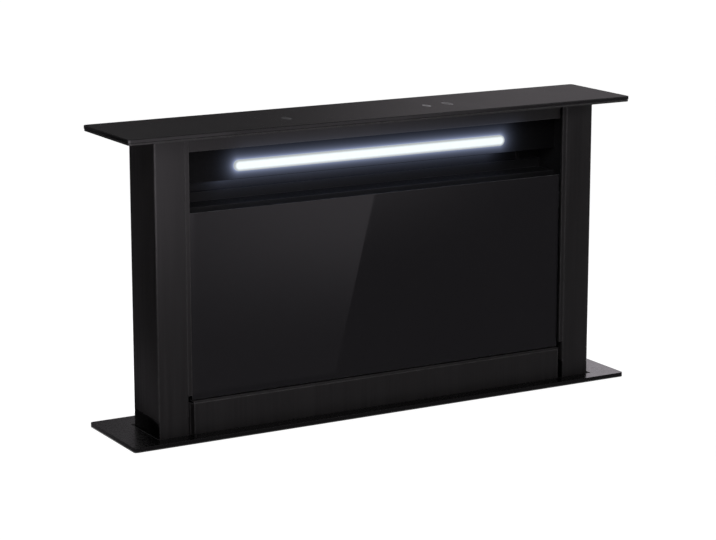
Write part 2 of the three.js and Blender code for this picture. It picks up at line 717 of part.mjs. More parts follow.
function addCarriage() {
  const top = COLUMN_BOTTOM + FRAME_SHEET;
  const front = COLUMN_FRONT + UPRIGHT_RETURN + CARRIAGE_SETBACK;
  const back = COLUMN_BACK - SHEET;
  const plate = rectangle(-BETWEEN_POSTS, BETWEEN_POSTS, front, back);
  const windows = [-1, 1].map((side) => {
    const [near, far] = [MOTOR_L, BETWEEN_POSTS - CARRIAGE_END];
    const [x0, x1] = side < 0 ? [-far, -near] : [near, far];
    return box(x0, x1, front + CARRIAGE_RIM, back - CARRIAGE_RIM, COLUMN_BOTTOM - FIT, top + FIT);
  });
  add(column, "carriage_plate", cut(prism("z", plate, COLUMN_BOTTOM, top), ...windows), ZINC);

  const bore = boreRadius(SHAFT_R, 24);
  const bearingTop = COLUMN_BOTTOM + BEARING_H + FRAME_SHEET;
  for (const [label, side] of SIDES) {
    const x0 = side < 0 ? -BETWEEN_POSTS : BETWEEN_POSTS - BEARING_W;
    const [y0, y1] = [SHAFT_Y - BEARING_BEFORE, SHAFT_Y + BEARING_BEHIND];
    const hole = circle(SHAFT_Y, SHAFT_Z, bore, 24);
    const block = prism("x", rectangle(y0, y1, top + FIT, bearingTop), x0, x0 + BEARING_W, [hole]);
    add(column, `bearing_${label}`, block, BLACK_PLASTIC);
  }

  const reach = COLUMN_SIDE + FIT;
  const tip = reach + (CASING_SIDE - SHEET - FIT - GUIDE_BASE - RUN - reach);
  for (const [label, side] of SIDES) {
    const z0 = COLUMN_BOTTOM + GLIDE_LIFT;
    const half = GUIDE_GROOVE / 2 - RUN;
    const shoe = sideBox(side, reach, tip, COLUMN_MID - half, COLUMN_MID + half, z0, z0 + GLIDE_H);
    add(column, `glide_${label}`, shoe, WHITE_PLASTIC);
  }
}

function addDrive() {
  const plateTop = COLUMN_BOTTOM + FRAME_SHEET + FIT;
  const motorStart = GEAR_X + GEAR_W / 2 + RUN;
  const motorBore = boreRadius(MOTOR_SHAFT_R, 24);
  const stubEnd = motorStart + MOTOR_SHAFT_BITE;
  const body = turned("x", [0, MOTOR_Y, MOTOR_Z], [
    [motorBore, motorStart],
    [MOTOR_NOSE_R, motorStart],
    [MOTOR_R, motorStart + MOTOR_EDGE],
    [MOTOR_R, motorStart + MOTOR_L - MOTOR_EDGE],
    [MOTOR_R - MOTOR_EDGE, motorStart + MOTOR_L],
    [motorBore, motorStart + MOTOR_L],
  ]);
  const [footStart, footEnd] = [motorStart + MOTOR_EDGE, motorStart + MOTOR_L - MOTOR_EDGE];
  const footTop = MOTOR_Z - MOTOR_R + MOTOR_EDGE;
  const foot = box(footStart, footEnd, MOTOR_Y - MOTOR_FOOT / 2, MOTOR_Y + MOTOR_FOOT / 2, plateTop, footTop);
  add(column, "gearmotor", join(body, foot), BRIGHT_STEEL);

  const stub = turned("x", [0, MOTOR_Y, MOTOR_Z], [
    [0, GEAR_X - GEAR_W / 2 - RUN],
    [MOTOR_SHAFT_R, GEAR_X - GEAR_W / 2 - RUN],
    [MOTOR_SHAFT_R, stubEnd],
    [0, stubEnd],
  ], 24);
  const gearLow = GEAR_X - GEAR_W / 2;
  const space = MOTOR_ANGLE + Math.PI + Math.PI / MOTOR_GEAR_TEETH;
  const motorGear = gearOutline(GEAR_MODULE, MOTOR_GEAR_TEETH, [MOTOR_Y, MOTOR_Z], space);
  add(lift, "motor_gear", join(prism("x", motorGear, gearLow, gearLow + GEAR_W), stub), BRIGHT_STEEL);

  const shaftEnd = BETWEEN_POSTS - RUN;
  const shaft = prism("x", circle(SHAFT_Y, SHAFT_Z, SHAFT_R, 24), -shaftEnd, shaftEnd);
  add(lift, "cross_shaft", shaft, BRIGHT_STEEL);
  const bore = circle(SHAFT_Y, SHAFT_Z, boreRadius(SHAFT_R, 24), 24);
  const shaftGear = gearOutline(GEAR_MODULE, SHAFT_GEAR_TEETH, [SHAFT_Y, SHAFT_Z], MOTOR_ANGLE);
  add(lift, "shaft_gear", prism("x", shaftGear, gearLow, gearLow + GEAR_W, [bore]), WHITE_PLASTIC);
  const pinion = gearOutline(MODULE, PINION_TEETH, [SHAFT_Y, SHAFT_Z], 0);
  for (const [label, side] of SIDES) {
    const x0 = side * RACK_X - PINION_W / 2;
    add(lift, `pinion_${label}`, prism("x", pinion, x0, x0 + PINION_W, [bore]), WHITE_PLASTIC);
  }
}

function addRacks() {
  const pitch = Math.PI * MODULE;
  const slope = Math.tan(THREE.MathUtils.degToRad(PRESSURE_ANGLE));
  const below = Math.ceil((LIFT_TRAVEL + RACK_OVERRUN) / pitch);
  const above = Math.ceil(RACK_OVERRUN / pitch);
  const tipY = RACK_PITCH_Y - TOOTH_TOP * MODULE;
  const half = pitch / 4 - BACKLASH / 4;
  const halfRoot = half + slope * TOOTH_ROOT * MODULE;
  const halfTip = half - slope * TOOTH_TOP * MODULE;
  const low = SHAFT_Z - (below + 0.5) * pitch;
  const high = SHAFT_Z + (above + 0.5) * pitch;
  const outline = [[RACK_BACK_Y, low - pitch / 2], [RACK_BACK_Y, high + pitch / 2]];
  outline.push([RACK_ROOT_Y, high + pitch / 2]);
  for (let k = above; k >= -below - 1; k -= 1) {
    const z = SHAFT_Z + (k + 0.5) * pitch;
    outline.push([RACK_ROOT_Y, z + halfRoot], [tipY, z + halfTip]);
    outline.push([tipY, z - halfTip], [RACK_ROOT_Y, z - halfRoot]);
  }
  outline.push([RACK_ROOT_Y, low - pitch / 2]);
  for (const [label, side] of SIDES) {
    const x0 = side * RACK_X - RACK_W / 2;
    add(casing, `rack_${label}`, prism("x", outline, x0, x0 + RACK_W), WHITE_PLASTIC);
  }
}

// ---------------------------------------------------------------- worktop trim and casing

function slotOutline(clearance) {
  const [x, y0, y1] = [COLUMN_SIDE + clearance, COLUMN_FRONT - clearance, COLUMN_BACK + clearance];
  return rectangle(-x, x, y0, y1);
}

function addTrim() {
  const slot = slotOutline(SLOT_CLEARANCE);
  const [x, y] = [CASING_SIDE + RUN, CASING_BACK + RUN];
  const rim = prism("z", plateOutline(0), WORKTOP_Z, WORKTOP_Z + TRIM_STEP, [rectangle(-x, x, -y, y)]);
  const plate = prism("z", plateOutline(0), WORKTOP_Z + TRIM_STEP, TRIM_TOP, [slot]);
  add(casing, "trim_flange", join(rim, plate), DARK_STEEL);

  const [sealLow, sealHigh] = [TRIM_TOP - SEAL_SETBACK - SEAL_H, TRIM_TOP - SEAL_SETBACK];
  const lip = [slotOutline(SEAL_CLEARANCE)];
  const seal = prism("z", slotOutline(SLOT_CLEARANCE - FIT), sealLow, sealHigh, lip);
  add(casing, "slot_seal", seal, RUBBER);

  const outer = rectangle(-CASING_SIDE, CASING_SIDE, CASING_FRONT, CASING_BACK);
  add(casing, "top_frame", prism("z", outer, FRAME_TOP - FRAME_H, FRAME_TOP, [slot]), BLACK_PLASTIC);
}

function addCasing() {
  const outer = rectangle(-CASING_SIDE, CASING_SIDE, CASING_FLOOR, CASING_TOP);
  const inlet = circle(BLOWER_X, BLOWER_Z, INLET_R, 40);
  add(casing, "casing_front", prism("y", outer, CASING_FRONT, CASING_FRONT + SHEET, [inlet]), ZINC);
  add(casing, "casing_rear", prism("y", outer, CASING_BACK - SHEET, CASING_BACK), ZINC);
  const inner = CASING_BACK - SHEET - FIT;
  const guideBack = CASING_SIDE - SHEET - FIT;
  const guideFront = COLUMN_SIDE + (guideBack - GUIDE_BASE - RUN - COLUMN_SIDE - GUIDE_BITE);
  const [half, groove] = [GUIDE_W / 2, GUIDE_GROOVE / 2];
  const guideFoot = COLUMN_BOTTOM - LIFT_TRAVEL;
  const profile = [
    [guideFront, COLUMN_MID - half],
    [guideBack, COLUMN_MID - half],
    [guideBack, COLUMN_MID + half],
    [guideFront, COLUMN_MID + half],
    [guideFront, COLUMN_MID + groove],
    [guideBack - GUIDE_BASE, COLUMN_MID + groove],
    [guideBack - GUIDE_BASE, COLUMN_MID - groove],
    [guideFront, COLUMN_MID - groove],
  ];
  for (const [label, side] of SIDES) {
    const wall = sideBox(side, CASING_SIDE - SHEET, CASING_SIDE, -inner, inner, CASING_FLOOR, CASING_TOP);
    add(casing, `casing_${label}`, wall, ZINC);
    const shown = side > 0 ? profile : mirrored(profile);
    add(casing, `guide_${label}`, prism("z", shown, guideFoot, CASING_TOP), ALUMINIUM);
  }
  const floor = box(-CASING_SIDE, CASING_SIDE, CASING_FRONT, CASING_BACK, BASE_Z, BASE_Z + SHEET);
  add(casing, "casing_floor", floor, ZINC);
}

// ---------------------------------------------------------------- blower

// Spiral of the scroll from its tongue round to the top, as points about the blower's axis.
function spiral(offset) {
  const steps = 30;
  const sweep = 270 + SCROLL_TONGUE;
  return Array.from({ length: steps + 1 }, (_, i) => {
    const angle = THREE.MathUtils.degToRad(SCROLL_TONGUE - (sweep * i) / steps);
    const radius = SCROLL_R_MIN + ((SCROLL_R_MAX - SCROLL_R_MIN) * i) / steps - offset;
    return [BLOWER_X + radius * Math.cos(angle), BLOWER_Z + radius * Math.sin(angle)];
  });
}

function addScroll() {
  const wall = BLOWER_WALL;
  const [y0, y1] = [BLOWER_FRONT, BLOWER_BACK];
  const duct = (inset, end) => rectangle(BLOWER_X, end, OUTLET_LOW + inset, OUTLET_HIGH - inset);
  const outer = join(prism("y", spiral(0), y0, y1), prism("y", duct(0, OUTLET_X), y0, y1));
  const inner = join(
    prism("y", spiral(wall), y0 + wall, y1 - wall),
    prism("y", duct(wall, OUTLET_X + wall), y0 + wall, y1 - wall),
  );
  const inlet = prism("y", circle(BLOWER_X, BLOWER_Z, INLET_R, 40), y1 - 2 * wall, y1 + wall);
  const motorHole = prism("y", circle(BLOWER_X, BLOWER_Z, STATOR_R + RUN, 32), y0 - wall, y0 + 2 * wall);
  add(blower, "blower_housing", cut(outer, inner, inlet, motorHole), BLACK_PLASTIC);
}

function addImpeller() {
  const inletSide = BLOWER_BACK - IMPELLER_INSET;
  const motorSide = inletSide - IMPELLER_W;
  const inner = IMPELLER_R - BLADE_DEPTH;
  const centre = [BLOWER_X, 0, BLOWER_Z];
  const ringSection = rectangle(inner, IMPELLER_R, inletSide - HUB_WALL, inletSide);
  const frontRing = turned("y", centre, ringSection, 48);
  const hubTop = motorSide + HUB_DEPTH;
  const stubEnd = hubTop - IMPELLER_SHAFT_L;
  const disc = turned("y", centre, [
    [0, stubEnd],
    [IMPELLER_SHAFT_R, stubEnd],
    [IMPELLER_SHAFT_R, hubTop - HUB_WALL],
    [HUB_R - HUB_WALL, hubTop - HUB_WALL],
    [HUB_R - HUB_WALL, motorSide],
    [IMPELLER_R, motorSide],
    [IMPELLER_R, motorSide + HUB_WALL],
    [HUB_R, motorSide + HUB_WALL],
    [HUB_R, hubTop],
    [0, hubTop],
  ], 48);
  const blades = [];
  for (let k = 0; k < BLADES; k += 1) {
    const turn = (k / BLADES) * 2 * Math.PI;
    const outline = [];
    for (const [from, to, step, half] of [[0, 3, 1, -1], [3, 0, -1, 1]]) {
      for (let i = from; i !== to + step; i += step) {
        const radius = inner + BLADE_T / 2 + ((BLADE_DEPTH - BLADE_T) * i) / 3;
        const lean = 0.16 * Math.sin((i / 3) * Math.PI * 0.6);
        const angle = turn + lean + (half * BLADE_T) / 2 / radius;
        outline.push([BLOWER_X + radius * Math.cos(angle), BLOWER_Z + radius * Math.sin(angle)]);
      }
    }
    blades.push(prism("y", outline, motorSide + HUB_WALL / 2, inletSide - HUB_WALL / 2));
  }
  add(blower, "impeller", join(disc, frontRing, ...blades), BLACK_PLASTIC);

  const bore = boreRadius(IMPELLER_SHAFT_R, 32);
  const statorTop = hubTop - HUB_GAP;
  const seat = BLOWER_FRONT - FIT;
  const stator = turned("y", centre, [
    [bore, statorTop],
    [bore, seat - MOTOR_CAP + MOTOR_CAP_WALL],
    [0, seat - MOTOR_CAP + MOTOR_CAP_WALL],
    [0, seat - MOTOR_CAP],
    [STATOR_R, seat - MOTOR_CAP],
    [STATOR_R + MOTOR_CAP_EDGE, seat - MOTOR_CAP + MOTOR_CAP_EDGE],
    [STATOR_R + MOTOR_CAP_EDGE, seat - MOTOR_FLANGE_T],
    [MOTOR_FLANGE_R, seat - MOTOR_FLANGE_T],
    [MOTOR_FLANGE_R, seat],
    [STATOR_R, seat],
    [STATOR_R, statorTop],
  ], 32);
  add(blower, "blower_motor", stator, ZINC);
}

// Solid between a rectangle and a circle on the duct's axis.
function transition(halfY, halfZ, radius, x0, x1) {
  const sides = 48;
  const points = [];
  for (const [x, round] of [[x0, false], [x1, true]]) {
    for (let i = 0; i < sides; i += 1) {
      const angle = (i / sides) * 2 * Math.PI;
      const [c, s] = [Math.cos(angle), Math.sin(angle)];
      const reach = round ? radius : Math.min(halfY / Math.abs(c), halfZ / Math.abs(s));
      points.push(x, BLOWER_MID + reach * c, DUCT_Z + reach * s);
    }
  }
  points.push(x0, BLOWER_MID, DUCT_Z, x1, BLOWER_MID, DUCT_Z);
  const faces = [];
  for (let i = 0; i < sides; i += 1) {
    const next = (i + 1) % sides;
    faces.push(i, next, sides + next, i, sides + next, sides + i);
    faces.push(2 * sides, next, i, 2 * sides + 1, sides + i, sides + next);
  }
  const geometry = new THREE.BufferGeometry();
  geometry.setAttribute("position", new THREE.Float32BufferAttribute(points, 3));
  geometry.setIndex(faces);
  return geometry;
}

function addDuct() {
  const start = OUTLET_X + FIT;
  const end = COLLAR_START;
  const collarEnd = end + COLLAR_L;
  const [halfY, halfZ] = [BLOWER_W / 2, (OUTLET_HIGH - OUTLET_LOW) / 2];
  const wall = DUCT_WALL;
  const collar = prism("x", circle(BLOWER_MID, DUCT_Z, DUCT_R, 48), end, collarEnd);
  const outer = join(transition(halfY, halfZ, DUCT_R, start, end), collar);
  const bore = prism("x", circle(BLOWER_MID, DUCT_Z, DUCT_R - wall, 48), end, collarEnd + wall);
  const funnel = transition(halfY - wall, halfZ - wall, DUCT_R - wall, start, end);
  const [mouthY, mouthZ] = [halfY - wall, halfZ - wall];
  const mouth = rectangle(BLOWER_MID - mouthY, BLOWER_MID + mouthY, DUCT_Z - mouthZ, DUCT_Z + mouthZ);
  const entry = prism("x", mouth, start - wall, start);
  add(blower, "duct_adapter", cut(outer, join(funnel, bore, entry)), ZINC);

  const inner = (DUCT_R - wall) * Math.cos(Math.PI / 48);
  const pinHalf = inner - RUN;
  const pin = circle(FLAP_X, BLOWER_MID, FLAP_PIN_R, 16);
  add(blower, "flap_pin", prism("z", pin, DUCT_Z - pinHalf, DUCT_Z + pinHalf), BRIGHT_STEEL);

  const sleeveBore = boreRadius(FLAP_PIN_R, 16);
  const sleeveOuter = sleeveBore + SLEEVE_WALL;
  const edge = sleeveOuter + RUN;
  const reach = inner - FLAP_CLEARANCE;
  for (const [label, side] of [["front", -1], ["rear", 1]]) {
    const half = [];
    const startAngle = Math.acos(edge / reach);
    for (let i = 0; i <= 16; i += 1) {
      const angle = -startAngle + (2 * startAngle * i) / 16;
      half.push([BLOWER_MID + side * reach * Math.cos(angle), DUCT_Z + reach * Math.sin(angle)]);
    }
    const plate = prism("x", half, FLAP_X - FLAP_T / 2, FLAP_X + FLAP_T / 2);
    const [inEnd, outEnd] = [side * SLEEVE_GAP, side * (reach - SLEEVE_END)];
    const [z0, z1] = [DUCT_Z + Math.min(inEnd, outEnd), DUCT_Z + Math.max(inEnd, outEnd)];
    const sleeve = prism("z", circle(FLAP_X, BLOWER_MID, sleeveOuter, 16), z0, z1);
    const webEnds = [BLOWER_MID + side * (sleeveBore + RUN), BLOWER_MID + side * (edge + RUN)];
    const [near, far] = webEnds.toSorted((a, b) => a - b);
    const web = box(FLAP_X - FLAP_T / 2, FLAP_X + FLAP_T / 2, near, far, z0, z1);
    const hole = prism("z", circle(FLAP_X, BLOWER_MID, sleeveBore, 16), z0 - RUN, z1 + RUN);
    add(blower, `flap_${label}`, cut(join(plate, sleeve, web), hole), ALUMINIUM);
  }
}

// ---------------------------------------------------------------- electronics and base

function addControls() {
  const x0 = CONTROL_INSET - CASING_SIDE;
  const x1 = x0 + CONTROL_W;
  const z1 = WORKTOP_Z - CONTROL_DROP;
  const z0 = z1 - CONTROL_H;
  const back = CASING_FRONT - FIT;
  const front = back - CONTROL_D;
  const wall = CONTROL_WALL;
  const hollow = box(x0 + wall, x1 - wall, front + wall, back + wall, z0 + wall, z1 - wall);
  add(casing, "control_box", cut(box(x0, x1, front, back, z0, z1), hollow), BLACK_PLASTIC);
  const side = x0 - FIT;
  const gland = turned("x", [0, (front + back) / 2, z1 - INLET_GLAND_DROP], [
    [0, side],
    [INLET_GLAND_R, side],
    [INLET_GLAND_R, side - INLET_GLAND_COLLAR],
    [INLET_GLAND_R - INLET_GLAND_STEP, side - INLET_GLAND_COLLAR],
    [INLET_GLAND_R - INLET_GLAND_STEP, side - INLET_GLAND_L],
    [0, side - INLET_GLAND_L],
  ], 24);
  add(casing, "mains_inlet", gland, BLACK_PLASTIC);
}

function addBase() {
  const top = BASE_Z - FIT;
  const bottom = top - RAIL_H;
  const [front, back] = [BLOWER_FRONT, CASING_BACK];
  for (const [label, side] of SIDES) {
    const middle = side * (CASING_SIDE - RAIL_INSET);
    const [x0, x1] = [middle - RAIL_W / 2, middle + RAIL_W / 2];
    const channel = [
      [x0, bottom],
      [x0 + RAIL_WALL, bottom],
      [x0 + RAIL_WALL, top - RAIL_WALL],
      [x1 - RAIL_WALL, top - RAIL_WALL],
      [x1 - RAIL_WALL, bottom],
      [x1, bottom],
      [x1, top],
      [x0, top],
    ];
    add(casing, `base_rail_${label}`, prism("y", channel, front, back), ZINC);
    for (const [place, y] of [["front", front + FOOT_INSET], ["rear", back - FOOT_INSET]]) {
      const foot = turned("z", [middle, y, 0], [
        [0, 0],
        [FOOT_R, 0],
        [FOOT_R, FOOT_PAD_H],
        [FOOT_NUT_R, FOOT_NUT_LOW],
        [FOOT_NUT_R, FOOT_NUT_HIGH],
        [FOOT_STUD_R, FOOT_NUT_HIGH],
        [FOOT_STUD_R, top - RAIL_WALL - FIT],
        [0, top - RAIL_WALL - FIT],
      ], 24);
      add(casing, `foot_${place}_${label}`, foot, BLACK_PLASTIC);
    }
  }
}

// ---------------------------------------------------------------- assembly

addLid();
addUprights();
addRails();
addSlot();
addFront();
addFilters();
addCarriage();
addDrive();
addRacks();
addTrim();
addCasing();
addScroll();
addImpeller();
addDuct();
addControls();
addBase();

const downdraft = new THREE.Group();
downdraft.add(casing, column, lift, blower);
downdraft.position.y = SHIFT_Y;

export default downdraft;
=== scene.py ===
"""Downdraft vent: finishes, small fittings, studio and camera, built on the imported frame. Metres, Z up."""

import json
import math

import bmesh
import bpy
from mathutils import Matrix, Vector

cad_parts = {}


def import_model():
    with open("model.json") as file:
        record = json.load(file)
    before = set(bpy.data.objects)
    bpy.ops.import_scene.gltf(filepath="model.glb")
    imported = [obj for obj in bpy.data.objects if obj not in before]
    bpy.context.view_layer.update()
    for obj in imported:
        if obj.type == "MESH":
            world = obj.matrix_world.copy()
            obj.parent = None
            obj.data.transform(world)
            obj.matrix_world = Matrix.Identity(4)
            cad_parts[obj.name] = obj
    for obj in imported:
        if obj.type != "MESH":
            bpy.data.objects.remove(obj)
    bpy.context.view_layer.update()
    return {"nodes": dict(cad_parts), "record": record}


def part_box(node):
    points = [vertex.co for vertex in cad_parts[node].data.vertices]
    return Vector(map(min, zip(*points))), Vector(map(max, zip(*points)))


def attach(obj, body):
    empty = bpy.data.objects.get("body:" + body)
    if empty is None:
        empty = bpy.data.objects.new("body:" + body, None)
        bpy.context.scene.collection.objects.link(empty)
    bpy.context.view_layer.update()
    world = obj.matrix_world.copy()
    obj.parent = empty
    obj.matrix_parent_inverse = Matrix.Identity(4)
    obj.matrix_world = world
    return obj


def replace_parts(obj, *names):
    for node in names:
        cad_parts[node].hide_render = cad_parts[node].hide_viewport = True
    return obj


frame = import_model()

WORKTOP_Z = 0.650
WELD = 1e-6  # points nearer than this are one
ON_FACE = 0.0001  # points nearer to a face than this lie on it

# ---------- node materials

BEVEL_SAMPLES = 4


class Nodes:
    """A node tree and the few patterns that the materials here are made of."""

    def __init__(self, tree):
        self.tree = tree

    def node(self, kind, inputs=(), **settings):
        made = self.tree.nodes.new(kind)
        for key, value in settings.items():
            setattr(made, key, value)
        for key, value in dict(inputs).items():
            if isinstance(value, bpy.types.NodeSocket):
                self.tree.links.new(value, made.inputs[key])
            else:
                made.inputs[key].default_value = value
        return made

    def where(self):
        """Object coordinates, which are metres in the frame at rest."""
        return self.node("ShaderNodeTexCoord").outputs["Object"]

    def axis(self, name, source):
        return self.node("ShaderNodeSeparateXYZ", {0: source}).outputs[name]

    def place(self, stretch=(1, 1, 1)):
        """Object coordinates, with the pattern drawn out along an axis where its stretch is small."""
        return self.node("ShaderNodeMapping", {"Vector": self.where(), "Scale": stretch}).outputs["Vector"]

    def noise(self, size, detail=3.0, stretch=(1, 1, 1)):
        """0 to 1 noise with blotches about size metres across."""
        inputs = {"Vector": self.place(stretch), "Scale": 1 / size, "Detail": detail}
        return self.node("ShaderNodeTexNoise", inputs).outputs["Fac"]

    def cells(self, size, feature="F1", output="Distance"):
        inputs = {"Vector": self.place(), "Scale": 1 / size}
        return self.node("ShaderNodeTexVoronoi", inputs, feature=feature).outputs[output]

    def span(self, source, low, high, to_low=0.0, to_high=1.0):
        """source from low..high, carried to to_low..to_high and held there."""
        inputs = {"Value": source, "From Min": low, "From Max": high, "To Min": to_low, "To Max": to_high}
        return self.node("ShaderNodeMapRange", inputs, interpolation_type="SMOOTHSTEP").outputs["Result"]

    def math(self, operation, a, b=0.0):
        return self.node("ShaderNodeMath", {0: a, 1: b}, operation=operation).outputs[0]

    def vector(self, operation, a, b=(0, 0, 0), output="Vector"):
        return self.node("ShaderNodeVectorMath", {0: a, 1: b}, operation=operation).outputs[output]

    def mix(self, share, a, b):
        """Colour a where share is 0 and b where it is 1. Either is a triple or a socket."""
        made = self.node("ShaderNodeMix", {0: share}, data_type="RGBA")
        for socket, colour in ((made.inputs[6], a), (made.inputs[7], b)):
            if isinstance(colour, bpy.types.NodeSocket):
                self.tree.links.new(colour, socket)
            else:
                socket.default_value = (*colour, 1)
        return made.outputs[2]

    def rounded(self, width):
        """The face's normal, turned round within that width of an edge."""
        return self.node("ShaderNodeBevel", {"Radius": width}, samples=BEVEL_SAMPLES).outputs["Normal"]

    def edges(self, width):
        """1 along outer edges about width metres wide, broken up by noise, else 0: for rubbed edges, and for
        painted edge highlights.
        """
        flat = self.node("ShaderNodeNewGeometry").outputs["Normal"]
        along = self.vector("DOT_PRODUCT", self.rounded(width), flat, "Value")
        turned = self.span(along, 0.999, 0.9)
        return self.math("MULTIPLY", turned, self.span(self.noise(0.006), 0.25, 0.6, 0.35, 1))


class Finish(Nodes):
    """A Principled material."""

    def __init__(self, name, colour, metallic=0.0, roughness=0.5, specular=0.5):
        self.material = bpy.data.materials.new(name)
        self.material.use_nodes = True
        super().__init__(self.material.node_tree)
        self.shader = self.tree.nodes["Principled BSDF"]
        self.set("Base Color", (*colour, 1))
        self.set("Metallic", metallic)
        self.set("Roughness", roughness)
        self.set("Specular IOR Level", specular)

    def set(self, socket, value):
        self.shader.inputs[socket].default_value = value

    def drive(self, socket, source):
        self.tree.links.new(source, self.shader.inputs[socket])

    def bump(self, height, depth, edge=0.0004):
        """Relief of depth metres over softly rounded edges."""
        inputs = {"Height": height, "Distance": depth, "Normal": self.rounded(edge)}
        self.drive("Normal", self.node("ShaderNodeBump", inputs).outputs["Normal"])


def smudged_gloss(finish, low, high):
    """Roughness of smudged gloss: broad smears with finer dust in them."""
    smears = finish.noise(0.05, 4, (1, 0.35, 1))
    dust = finish.noise(0.004, 2)
    both = finish.math("MULTIPLY", smears, finish.span(dust, 0.3, 0.8, 0.8, 1.15))
    finish.drive("Roughness", finish.span(both, 0.3, 0.75, low, high))


def dark_glass():
    """Smoked toughened glass, back-painted, with ground edges lightened further as a painted highlight."""
    glass = Finish("smoked_glass", (0.009, 0.0085, 0.0100), roughness=0.04)
    tone = glass.mix(glass.noise(0.12), (0.0088, 0.0083, 0.0098), (0.0114, 0.0108, 0.0126))
    # ground edges, lightened further as a painted highlight
    glass.drive("Base Color", glass.mix(glass.edges(0.0010), tone, (0.11, 0.112, 0.118)))
    smudged_gloss(glass, 0.02, 0.09)
    glass.bump(glass.noise(0.03, 2), 0.00002, 0.0010)
    return glass


LID_MARKS = (  # touch fields in the lid's print: x, distance behind its front edge, radius, brightness
    (-0.1010, 0.0466, 0.0044, 0.16),
    (0.0704, 0.0506, 0.0038, 0.55),
    (0.0975, 0.0526, 0.0052, 0.32),
)
MARK_DEPTH = 2.2  # the fields are ovals, this much longer from front to back
MARK_RIM = 0.8  # share of the radius that its soft rim leaves
MARK_CORE = (0.45, 0.65)  # shares of the radius between which the fainter core ends
CORE_BRIGHTNESS = 0.45  # of the core, as a share of the field's


def lid_glass():
    """The lid's glass: the same print seen at a flat angle, with faint touch fields in it."""
    glass = Finish("lid_glass", (0.010, 0.0093, 0.0103), roughness=0.18)
    tone = glass.mix(glass.noise(0.1), (0.0090, 0.0082, 0.0090), (0.0118, 0.0108, 0.0118))
    printed = glass.mix(glass.edges(0.0008), tone, (0.055, 0.055, 0.057))
    where = glass.where()
    low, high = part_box("lid_glass")
    for x, behind, radius, bright in LID_MARKS:
        aside = glass.vector("SUBTRACT", where, (x, low.y + behind, high.z))
        away = glass.vector("LENGTH", glass.vector("MULTIPLY", aside, (1, 1 / MARK_DEPTH, 1)), output="Value")
        field = glass.span(away, radius, MARK_RIM * radius)
        core = glass.span(away, MARK_CORE[0] * radius, MARK_CORE[1] * radius, CORE_BRIGHTNESS, 1)
        printed = glass.mix(glass.math("MULTIPLY", field, core), printed, (bright, bright, 1.05 * bright))
    glass.drive("Base Color", printed)
    glass.drive("Roughness", glass.span(glass.noise(0.06, 3, (1, 0.5, 1)), 0.25, 0.75, 0.15, 0.22))
    glass.bump(glass.noise(0.05, 2), 0.00003)
    return glass


PAINTED_SHADE_H = 0.018  # of the column's sides above the trim, where the band of painted shade ends
PAINTED_SHADE_FADE = 0.004  # ragged upper edge of that band


def painted_side_shade(finish, below):
    """1 on faces that look sideways, below that height: the band of painted shade, darkened near black, low
    on the column's sides.
    """
    height = finish.axis("Z", finish.where())
    ragged = finish.math("ADD", height, finish.math("MULTIPLY", finish.noise(0.01), PAINTED_SHADE_FADE))
    normal = finish.node("ShaderNodeNewGeometry").outputs["Normal"]
    aside = finish.math("ABSOLUTE", finish.axis("X", normal))
    band = finish.span(ragged, below + PAINTED_SHADE_FADE, below)
    return finish.math("MULTIPLY", band, finish.span(aside, 0.5, 0.8))


def lacquer(name, rounding=0.0012, painted_shade_below=None):
    """Anthracite lacquer on brushed sheet: upright brush lines, orange peel, rubbed edges lightened further
    as a painted highlight, and, given a height, a band of painted shade low on its sides.
    """
    steel = Finish(name, (0.016, 0.0147, 0.0152), roughness=0.36)
    brushed = steel.noise(0.0022, 3, (1, 1, 0.02))
    clouds = steel.noise(0.09, 4)
    lines = steel.mix(steel.span(brushed, 0.3, 0.7), (0.0135, 0.0124, 0.0128), (0.0185, 0.0170, 0.0176))
    tone = steel.mix(steel.span(clouds, 0.3, 0.7, 0, 0.5), lines, (0.0150, 0.0138, 0.0142))
    # rubbed edges, lightened beyond wear as a painted highlight along the folds
    rubbed_and_painted_light = steel.mix(steel.edges(0.0016), tone, (0.085, 0.080, 0.083))
    rough = steel.span(brushed, 0.3, 0.7, 0.30, 0.42)
    # painted shade: the column's sides darkened near black in a band just above the trim
    if painted_shade_below:
        band = painted_side_shade(steel, painted_shade_below)
        rubbed_and_painted_light = steel.mix(band, rubbed_and_painted_light, (0.0008, 0.0008, 0.0008))
        rough = steel.math("MULTIPLY", rough, steel.span(band, 0, 1, 1, 0.3))
    steel.drive("Base Color", rubbed_and_painted_light)
    steel.drive("Roughness", rough)
    steel.bump(steel.noise(0.0006, 2), 0.00002, rounding)
    return steel


TRIM_SHADE = (0.028, 0.018)  # beyond the column's sides: where the column's painted shade on the trim ends, and is full


def trim_lacquer():
    """The trim's deeper, glossier black, with the column's shade painted in, deepest where the column stands
    over it.
    """
    steel = Finish("trim_lacquer", (0.0045, 0.0043, 0.0045), roughness=0.24)
    tone = steel.mix(steel.noise(0.05, 4), (0.0035, 0.0033, 0.0035), (0.0055, 0.0052, 0.0055))
    aside = steel.math("ABSOLUTE", steel.axis("X", steel.where()))
    column_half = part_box("upright_right")[1].x
    shade = steel.span(aside, *(column_half + beyond for beyond in TRIM_SHADE))
    # painted shade of the column on the trim beside it
    tone = steel.mix(shade, tone, (0.0004, 0.0004, 0.0004))
    steel.drive("Base Color", steel.mix(steel.edges(0.0007), tone, (0.018, 0.0175, 0.018)))
    steel.drive("Roughness", steel.span(steel.noise(0.003, 3), 0.3, 0.7, 0.20, 0.30))
    steel.bump(steel.noise(0.0008, 2), 0.00001, 0.0006)
    return steel


SPILL_COLOUR = (0.56, 0.66, 1.0)
SPILL_NEAR, SPILL_FAR = 0.0016, 0.0055  # distances over which the spill's two parts fade
STRIP_RIM_W = 0.0032  # of the light strip's weaker rim
STRIP_RIM = 0.45  # its brightness, as a share of the middle's


